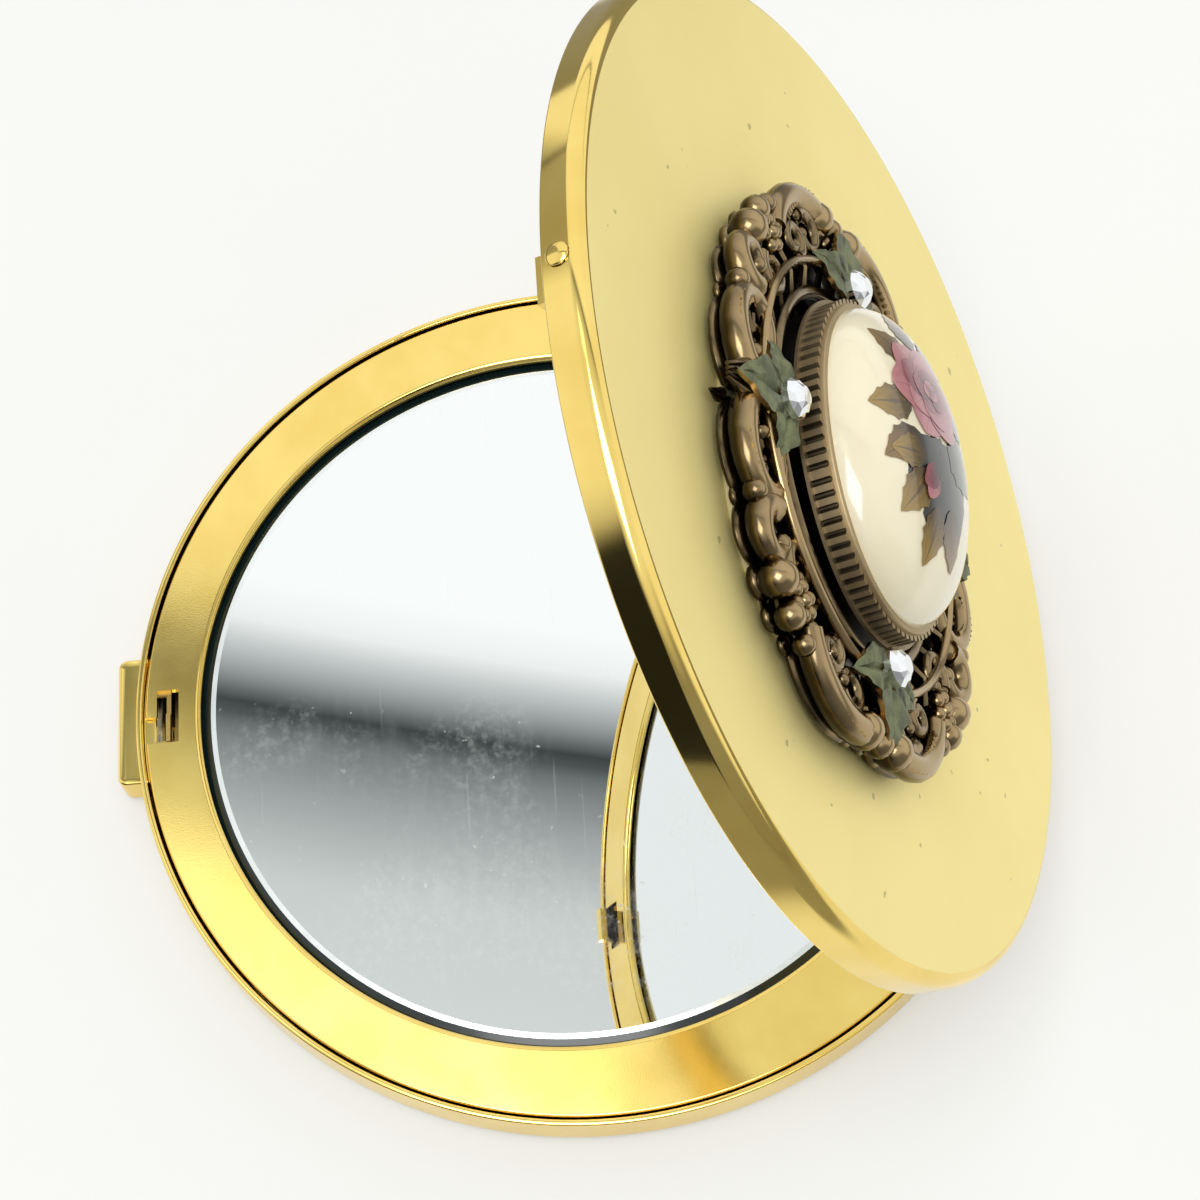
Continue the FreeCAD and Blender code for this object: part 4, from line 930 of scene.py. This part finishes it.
# Setting: an oval cup of antiqued brass with a coin-edged band and a smooth rim, turned in over the
# cabochon. It stands in the middle of the upper filigree.
cabochon_length = 0.0111
cabochon_width = 0.00845
setting_low = 0.01050
foot_height = 0.00022
flute_top = 0.01180
rim_top = 0.01210
rim_wall = 0.00040
flute_reach = 0.00078
flute_depth = 0.00034
flute_count = 84
corners_per_flute = 6
groove_corners = 2
rim_round = 0.32


def oval_prism(margin, low, high, corners):
    """Adds an upright oval round the cabochon, wider than it by a margin."""
    bpy.ops.mesh.primitive_cylinder_add(
        vertices=corners, radius=1, depth=high - low, location=(ornament_x, ornament_y, (low + high) / 2),
        scale=(cabochon_length + margin, cabochon_width + margin, 1))


oval_prism(flute_reach, setting_low, flute_top, corners_per_flute * flute_count)
setting = take("setting_cup")
flute_inset = 1 - flute_depth / (cabochon_length + flute_reach)


def in_groove(corner):
    """True for the corners that lie between two flutes."""
    turn = math.atan2(
        (corner.co.y - ornament_y) / cabochon_width, (corner.co.x - ornament_x) / cabochon_length)
    place = round(turn / (2 * math.pi) * corners_per_flute * flute_count)
    return place % corners_per_flute < groove_corners


pick(setting, "VERT", in_groove)
resize((flute_inset, flute_inset, 1), (ornament_x, ornament_y, 0))
bpy.ops.mesh.select_mode(type="VERT")
bpy.ops.mesh.select_all(action="DESELECT")
oval_prism(flute_reach + flute_depth, setting_low - foot_height, setting_low, 160)
leave_edit()
setting_brass = antique_brass_finish(
    "setting_brass", (0.36, 0.285, 0.175, 1.0), (0.46, 0.36, 0.21, 1.0), 0.40, setting_low, rim_top)
dress(setting, setting_brass)
# Partly patina, partly painted shade: the grooves between the flutes, floors and sides, are painted dark.
groove_patina_and_shade = antique_brass_finish(
    "groove_patina_and_shade", (0.075, 0.060, 0.038, 1.0), (0.18, 0.14, 0.085, 1.0), 0.45, setting_low, rim_top)
setting.data.materials.append(groove_patina_and_shade)
for face in setting.data.polygons:
    corners = [setting.data.vertices[index] for index in face.vertices]
    if len(corners) == 4 and face.center.z > setting_low and any(in_groove(corner) for corner in corners):
        face.material_index = 1

oval_prism(rim_wall, flute_top - flute_depth, rim_top, 160)
rim = take("setting_rim")
dress(rim, setting_brass)
pick(rim, "FACE", lambda face: face.normal.z > 0.9)
bpy.ops.mesh.inset(thickness=rim_wall + flute_depth)
extrude((0, 0, -2 * flute_depth))
pick(rim, "EDGE", lambda edge: len(edge.link_faces) == 2
     and all(corner.co.z > rim_top - tiny for corner in edge.verts)
     and edge.calc_face_angle() > math.radians(60))
bpy.ops.mesh.bevel(offset=rim_round * rim_wall, segments=4, affect="EDGES")
leave_edit()
join_into(setting, [rim])
settle(setting, 40.0)
place_piece(setting, lid_turn @ ornament_spin)
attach(setting, "lid")
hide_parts("cabochon_setting")

# Cabochon: a domed oval of ivory porcelain, moulded, fired and glazed. It lies on the setting's floor,
# and the setting's rim is turned in over its edge.
cabochon_low = 0.01125
cabochon_girdle = 0.0007
cabochon_dome = 0.0044


def porcelain_glaze(name):
    """Ivory porcelain under a clear glaze."""
    material, shader, place = new_finish(
        name, {"Coat Weight": 1.0, "Coat Roughness": 0.04, "IOR": 1.5})
    cloud = place.noise(240.0)
    feed(shader, "Base Color", cloud.blend((0.78, 0.70, 0.49, 1.0), (0.86, 0.79, 0.58, 1.0)))
    feed(shader, "Roughness", 0.18 + 0.06 * cloud)
    return material


porcelain = porcelain_glaze("porcelain")
bpy.ops.mesh.primitive_uv_sphere_add(
    segments=128, ring_count=64, radius=1,
    location=(ornament_x, ornament_y, cabochon_low + cabochon_girdle),
    scale=(cabochon_length, cabochon_width, cabochon_dome))
cabochon = take("cabochon_dome")
bpy.ops.mesh.select_all(action="SELECT")
bpy.ops.mesh.bisect(
    plane_co=(0, 0, cabochon_low + cabochon_girdle), plane_no=(0, 0, 1), clear_inner=True, use_fill=True)
extrude((0, 0, -cabochon_girdle))
leave_edit()
settle(cabochon, 40.0)
dress(cabochon, porcelain)

# Print on the cabochon: a rose spray of thin ceramic colour, fired on under the glaze. Each petal and
# leaf is a film of its own, laid on the dome over the one before it.
film_sheet = 0.000012
film_lift = 0.000006
petal_length = 0.0034
petal_broad = 0.0034
leaf_length = 0.0042
leaf_broad = 0.0025


def printed_colour(name, heart, edge, vein, veins):
    """Fired colour with a shaded edge, fine streaks along the blade and a soft vein."""
    material, shader, place = new_finish(
        name, {"Coat Weight": 1.0, "Coat Roughness": 0.04, "IOR": 1.5, "Roughness": 0.25})
    axes = place.add("ShaderNodeUVMap", {}, {})
    along = axes.split("X")
    across = axes.split("Y")
    streaks = axes.add("ShaderNodeMapping", {}, {"Vector": axes, "Scale": (3.0, 14.0, 1.0)}).noise(1.0, 4.0)
    shade = (along + 0.7 * streaks - 0.35).step(0.05, 0.95)
    rib = 1.0 - abs(across - 0.5).step(0.0, veins)
    tone = shade.blend(heart, edge)
    feed(shader, "Base Color", rib.blend(tone, vein))
    return material


def blade(name, length, width_at):
    """A flat blade from the origin along X: a grid whose columns are drawn in to the outline."""
    bpy.ops.mesh.primitive_grid_add(
        x_subdivisions=14, y_subdivisions=8, size=length, location=(length / 2, 0, 0))
    piece = take(name)
    form = bmesh.from_edit_mesh(piece.data)
    columns = sorted({round(corner.co.x, 7) for corner in form.verts})
    for column in columns:
        share = min(max(column / length, 0.0), 1.0)
        pick(piece, "VERT", lambda corner: abs(corner.co.x - column) < tiny)
        resize((1, max(width_at(share), tiny) / length, 1), (column, 0, 0))
    leave_edit()
    return piece


def petal_width(share):
    """Broad and round towards the free edge."""
    return petal_broad * max(math.sin(math.pi * share ** 0.75), 0.0) ** 0.6


def leaf_width(share):
    """Pointed, broadest near the stem, with a few coarse teeth."""
    teeth = 1 + 0.10 * math.sin(9 * math.pi * share)
    return leaf_broad * max(math.sin(math.pi * share ** 0.8), 0.0) ** 0.9 * teeth


petal = blade("petal", petal_length, petal_width)
leaf = blade("leaf", leaf_length, leaf_width)
rose_pale = printed_colour(
    "rose_pale", (0.17, 0.034, 0.048, 1.0), (0.45, 0.17, 0.185, 1.0), (0.28, 0.085, 0.10, 1.0), 0.02)
rose_deep = printed_colour(
    "rose_deep", (0.075, 0.010, 0.020, 1.0), (0.27, 0.070, 0.090, 1.0), (0.14, 0.03, 0.042, 1.0), 0.02)
leaf_olive = printed_colour(
    "leaf_olive", (0.060, 0.034, 0.007, 1.0), (0.30, 0.19, 0.035, 1.0), (0.07, 0.045, 0.02, 1.0), 0.05)
leaf_brown = printed_colour(
    "leaf_brown", (0.042, 0.024, 0.009, 1.0), (0.21, 0.120, 0.030, 1.0), (0.05, 0.035, 0.02, 1.0), 0.05)
leaf_slate = printed_colour(
    "leaf_slate", (0.006, 0.0055, 0.006, 1.0), (0.030, 0.026, 0.025, 1.0), (0.03, 0.03, 0.03, 1.0), 0.04)

# Films from the bottom up: blade, colour, place along and across in millimetres, heading, length and width
spray = [
    (leaf, leaf_slate, -0.2, 1.0, 15, 1.5, 1.8), (leaf, leaf_slate, 0.0, 0.6, -25, 1.5, 1.7),
    (leaf, leaf_slate, 0.4, 1.8, 36, 1.1, 1.4), (leaf, leaf_slate, 2.4, 0.2, -12, 1.2, 1.6),
    (leaf, leaf_slate, -0.8, 0.0, -60, 1.2, 1.6), (leaf, leaf_slate, 3.0, 1.2, 12, 1.0, 1.3),
    (leaf, leaf_slate, -2.8, -0.8, -105, 0.9, 1.3), (leaf, leaf_slate, -5.8, -0.2, -150, 0.8, 1.2),
    (leaf, leaf_brown, -5.0, 3.0, 132, 0.75, 1.0), (leaf, leaf_brown, -6.6, 1.8, 170, 0.75, 0.9),
    (leaf, leaf_olive, -1.6, 4.0, 76, 0.80, 1.0), (leaf, leaf_brown, 0.4, 3.5, 50, 0.90, 1.0),
    (leaf, leaf_olive, 2.8, 2.6, 34, 0.95, 1.0), (leaf, leaf_olive, 4.8, 1.4, 8, 0.95, 0.9),
    (leaf, leaf_brown, 4.4, 0.0, -22, 0.95, 1.0), (leaf, leaf_olive, 1.8, 3.1, 84, 0.70, 0.9),
]
# Rose and bud: each whorl's middle, count, first heading and step, first length and step, width and colours
rose = (-3.4, 1.6)
bud = (2.9, 2.1)
whorls = [
    (rose, 6, 20, 60, 1.12, 0.0, 1.15, [rose_pale]),
    (rose, 5, 50, 72, 0.82, 0.0, 0.95, [rose_pale, rose_deep]),
    (rose, 4, 15, 90, 0.52, 0.0, 0.70, [rose_deep]),
    (rose, 3, 70, 120, 0.24, 0.0, 0.36, [rose_pale]),
    (bud, 3, 20, 34, 0.55, -0.1, 0.42, [rose_pale, rose_deep, rose_deep]),
]
for middle, count, first, heading_step, length, length_step, width, colours in whorls:
    for turn in range(count):
        spray.append((
            petal, colours[turn % len(colours)], *middle, first + heading_step * turn,
            length + length_step * turn, width))

films = []
for layer, (form, colour, along, across, heading, length, width) in enumerate(spray):
    film = copy_of(form, "film_%02d" % layer)
    dress(film, colour)
    spot = Matrix.Translation(quarter_point(along, across, cabochon_low + 2 * cabochon_dome))
    turned = Matrix.Rotation(math.radians(-heading), 4, "Z")
    place_piece(film, spot @ turned @ Matrix.Diagonal((length, width, 1.0, 1.0)))
    wrap = film.modifiers.new("laid_on", "SHRINKWRAP")
    wrap.target = cabochon
    wrap.wrap_method = "PROJECT"
    wrap.use_project_z = True
    wrap.use_negative_direction = True
    wrap.use_positive_direction = False
    wrap.offset = film_lift * (1 + layer)
    sheet = film.modifiers.new("sheet", "SOLIDIFY")
    sheet.thickness = film_sheet
    bpy.ops.object.modifier_apply(modifier=wrap.name)
    bpy.ops.object.modifier_apply(modifier=sheet.name)
    films.append(film)
bpy.data.objects.remove(petal)
bpy.data.objects.remove(leaf)
print_film = films[0]
join_into(print_film, films[1:])
print_film.name = "rose_spray"
settle(print_film, 60.0)
for piece in (cabochon, print_film):
    place_piece(piece, lid_turn @ ornament_spin)
    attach(piece, "lid")
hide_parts("cabochon")

# Leaf sprigs: four stampings of thin brass, each with three veined leaves, painted a matt green that has
# worn off along the edges. They are soldered to the oval wire at the ends and the sides.
sprig_level = 0.0108
sprig_sheet = 0.00035
sprig_ends = 0.01385
sprig_sides = 0.01165
sprig_shift = 0.0002
sprig_length = 0.0056
sprig_broad = 0.0037
side_share = 0.82
side_spread = 74
vein_fold = 0.00032
# The leaf's tip hangs: past each place along it, it drops by so much more
tip_drops = [(0.0034, 0.00022), (0.0044, 0.00025)]


def worn_green(name):
    """Matt green paint with darker blotches and brown specks."""
    material, shader, place = new_finish(name, {})
    cloud = place.noise(900.0, 4.0)
    specks = place.noise(3500.0, 2.0).step(0.60, 0.70)
    tone = cloud.step(0.35, 0.65).blend((0.078, 0.090, 0.042, 1.0), (0.175, 0.192, 0.088, 1.0))
    feed(shader, "Base Color", (0.6 * specks).blend(tone, (0.12, 0.085, 0.04, 1.0)))
    feed(shader, "Metallic", 0.35 * specks)
    feed(shader, "Roughness", 0.45 + 0.25 * cloud)
    feed(shader, "Normal", cloud.bump(0.0001, 0.2))
    return material


leaf_green = worn_green("leaf_green")


def sprig_width(share):
    """Three-lobed like ivy: a broad base, two shoulders and a point."""
    shoulder = 1 + 0.12 * math.sin(5 * math.pi * share)
    return sprig_broad * max(math.sin(math.pi * min(share + 0.08, 1.0) ** 0.9), 0.0) ** 0.8 * shoulder


sprig_leaf = blade("sprig_leaf", sprig_length, sprig_width)
select_only(sprig_leaf)
bpy.ops.object.mode_set(mode="EDIT")
bpy.ops.mesh.select_mode(type="VERT")
pick(sprig_leaf, "VERT", lambda corner: abs(corner.co.y) < tiny)
bpy.ops.transform.translate(value=(0, 0, -vein_fold))
for past, drop in tip_drops:
    pick(sprig_leaf, "VERT", lambda corner: corner.co.x > past)
    bpy.ops.transform.translate(value=(0, 0, -drop))
bpy.ops.mesh.select_all(action="SELECT")
bpy.ops.mesh.duplicate()
bpy.ops.transform.rotate(value=math.radians(side_spread), orient_axis="Z", center_override=(0, 0, 0))
resize((side_share, side_share, 1), (0, 0, 0))
bpy.ops.mesh.duplicate()
bpy.ops.transform.rotate(value=-2 * math.radians(side_spread), orient_axis="Z", center_override=(0, 0, 0))
leave_edit()
leaf_sheet = sprig_leaf.modifiers.new("sheet", "SOLIDIFY")
leaf_sheet.thickness = sprig_sheet
leaf_sheet.offset = 0
leaf_sheet.material_offset_rim = 1
dress(sprig_leaf, leaf_green)
sprig_leaf.data.materials.append(upper_brass)
bpy.ops.object.modifier_apply(modifier=leaf_sheet.name)
settle(sprig_leaf, 35.0)

# Stones: four flat-backed stones of cut crystal with silver foil behind, in two tiers of facets round a
# small table. They are glued on the sprigs, where the leaves meet.
stone_radius = 0.00135
stone_low = 0.0110
stone_girdle = 0.00045
stone_crown = 0.0007
stone_facets = 12
# Crown in two tiers: the share of its height, and how far each tier draws in
stone_tiers = [(0.55, 0.78), (0.45, 0.58)]


def foiled_crystal(name):
    """Cut crystal over silver foil: bright, with slightly tinted facets."""
    material, shader, place = new_finish(name, {"Metallic": 1.0, "Coat Weight": 1.0})
    cloud = place.noise(1400.0)
    feed(shader, "Base Color", cloud.blend((0.80, 0.83, 0.86, 1.0), (0.96, 0.97, 0.98, 1.0)))
    feed(shader, "Roughness", 0.03 + 0.05 * cloud)
    return material


bpy.ops.mesh.primitive_cylinder_add(
    vertices=stone_facets, radius=stone_radius, depth=stone_girdle, location=(0, 0, stone_girdle / 2))
stone = take("stone")
pick(stone, "FACE", lambda face: face.normal.z > 0.9)
for rise, draw in stone_tiers:
    extrude((0, 0, rise * stone_crown))
    resize((draw, draw, 1), (0, 0, 0))
    bpy.ops.transform.rotate(value=math.pi / stone_facets, orient_axis="Z", center_override=(0, 0, 0))
pick(stone, "FACE", lambda face: abs(face.normal.z) < 0.98)
bpy.ops.mesh.quads_convert_to_tris()
leave_edit()
dress(stone, foiled_crystal("foiled_crystal"))

sides = [
    ("front", (0, -sprig_sides), -90), ("back", (0, sprig_sides), 90),
    ("left", (-sprig_ends, 0), 180), ("right", (sprig_ends, 0), 0),
]
for side, (along, across), heading in sides:
    spot = Matrix.Translation((ornament_x + sprig_shift + along, ornament_y + across, 0))
    turned = Matrix.Rotation(math.radians(heading), 4, "Z")
    side_place = lid_turn @ ornament_spin @ spot @ turned
    side_leaf = copy_of(sprig_leaf, "sprig_" + side)
    place_piece(side_leaf, side_place @ Matrix.Translation((0, 0, sprig_level)))
    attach(side_leaf, "lid")
    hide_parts("leaf_sprig_" + side)
    side_stone = copy_of(stone, "stone_" + side)
    place_piece(side_stone, side_place @ Matrix.Translation((0, 0, stone_low)))
    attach(side_stone, "lid")
    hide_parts("rhinestone_" + side)
bpy.data.objects.remove(sprig_leaf)
bpy.data.objects.remove(stone)

# Floor: a plain pale table top, matt, with a faint unevenness of tone. Seen directly it is near white. In
# the gilt and the glass it shows pale near the compact, and further out a painted dark reflection, for
# mirrored rays alone.
floor_half = 1.2
bpy.ops.mesh.primitive_plane_add(size=2 * floor_half)
floor = bpy.context.active_object
floor.name = "table_top"
pale_top, shader, place = new_finish("pale_top", {"Roughness": 0.7, "Specular IOR Level": 0.2})
feed(shader, "Base Color", place.noise(14.0).blend((0.81, 0.815, 0.79, 1.0), (0.87, 0.87, 0.855, 1.0)))
camera_ray, glossy_ray, clear_ray = [place.add("ShaderNodeLightPath", {}, {}, ray) for ray in (
    "Is Camera Ray", "Is Glossy Ray", "Is Transmission Ray")]
side_way = abs(place.split("X"))
back_way = abs(place.split("Y"))
# Painted reflection: for mirrored rays alone, the floor further out is dark.
far_painted_dark = glossy_ray * (1.0 - (1.0 - side_way.step(0.07, 0.11)) * (1.0 - back_way.step(0.14, 0.20)))
seen = 0.4 * camera_ray + 0.25 * glossy_ray + 0.5 * far_painted_dark + 0.6 * clear_ray
glow = place.add(
    "ShaderNodeEmission", {}, {"Color": far_painted_dark.blend((0.94, 0.945, 0.925, 1.0), (0.12, 0.12, 0.11, 1.0))})
tree = pale_top.node_tree
top_shader = Flow(tree, shader.outputs["BSDF"])
paper = place.add("ShaderNodeMixShader", {}, {"Fac": seen, "Shader": top_shader, "Shader_001": glow})
tree.links.new(paper.socket, tree.nodes["Material Output"].inputs["Surface"])
dress(floor, pale_top)

# Light: a square soft box over the table, and a painted room that the gilt and the glass mirror. The pale
# ceiling has a dark beam and a window. The walls are grey at the right, with a dim corner, a dark skirting
# and a dark doorway. The camera itself sees plain white.
beam_slant = 0.19
window_slant = 0.27
pale_wall = (1.05, 1.05, 1.05, 1.0)
grey_wall = (0.30, 0.30, 0.30, 1.0)
dim_wall = (0.42, 0.42, 0.41, 1.0)
dark_wood = (0.07, 0.07, 0.065, 1.0)
door_black = (0.02, 0.02, 0.022, 1.0)
window_white = (1.8, 1.8, 1.75, 1.0)
plain_white = (1.0, 1.0, 1.0, 1.0)
world = bpy.data.worlds.new("pale_room")
bpy.context.scene.world = world
world.use_nodes = True
tree = world.node_tree
sky = Flow(tree).add("ShaderNodeTexCoord", {}, {}, "Generated")
side = sky.split("X")
depth = sky.split("Y")
up = sky.split("Z")
beam = side - beam_slant * depth
ceiling = beam.add(
    "ShaderNodeValToRGB",
    {"stops": [
        (0.00, (1.10, 1.10, 1.10, 1.0)),
        (0.592, (1.10, 1.10, 1.10, 1.0)),
        (0.605, (0.98, 0.99, 0.99, 1.0)),
        (0.614, (0.63, 0.65, 0.65, 1.0)),
        (0.623, (0.35, 0.37, 0.37, 1.0)),
        (0.632, (0.055, 0.065, 0.065, 1.0)),
        (0.635, (0.055, 0.065, 0.065, 1.0)),
        (0.642, (0.19, 0.21, 0.21, 1.0)),
        (0.660, (0.39, 0.41, 0.41, 1.0)),
        (0.690, (0.67, 0.70, 0.68, 1.0)),
        (0.84, (0.95, 0.95, 0.94, 1.0)),
        (1.00, (0.95, 0.95, 0.94, 1.0)),
    ]},
    {"Fac": beam + 1.0})
skirting = up.step(0.203, 0.208) * (1.0 - up.step(0.224, 0.229)) * (1.0 - side.step(-0.70, -0.60))
doorway = side.step(0.36, 0.46) * (1.0 - depth.step(-0.34, -0.24)) * depth.step(-0.92, -0.86)
corner = (1.0 - side.step(-0.54, -0.42)) * (1.0 - depth.step(-0.58, -0.50))
slant = side - window_slant * depth
window = (slant.step(-0.245, -0.235) * (1.0 - slant.step(-0.10, -0.08)) * depth.step(-0.36, -0.32)
          * (1.0 - depth.step(-0.038, -0.034)) * up.step(0.80, 0.82))
camera_ray = sky.add("ShaderNodeLightPath", {}, {}, "Is Camera Ray")
walls = side.step(0.20, 0.50).blend(pale_wall, grey_wall)
walls = doorway.blend(corner.blend(walls, dim_wall), door_black)
walls = skirting.blend(up.step(0.55, 0.85).blend(walls, ceiling), dark_wood)
walls = camera_ray.blend(window.blend(walls, window_white), plain_white)
tree.links.new(walls.socket, tree.nodes["Background"].inputs["Color"])

soft_box = bpy.data.lights.new("soft_box", "AREA")
soft_box.shape = "SQUARE"
soft_box.size = 0.3
soft_box.energy = 1.4
soft_lamp = bpy.data.objects.new("soft_box", soft_box)
soft_lamp.location = (0.14, -0.05, 0.6)
soft_lamp.rotation_euler = (0, 0, math.radians(-36))
bpy.context.scene.collection.objects.link(soft_lamp)

# Camera: a hand-held view from above, with the hinge to the right and the button to the left, as the
# outlines of base, lid and mirror place it.
camera_data = bpy.data.cameras.new("camera")
camera_data.sensor_width = 36.0
camera_data.lens = 84.6
camera = bpy.data.objects.new("camera", camera_data)
camera.location = (0.08498, 0.00915, 0.20665)
camera.rotation_euler = (math.radians(24.223), math.radians(3.677), math.radians(86.401))
bpy.context.scene.collection.objects.link(camera)
bpy.context.scene.camera = camera
bpy.context.scene.view_settings.view_transform = "Standard"
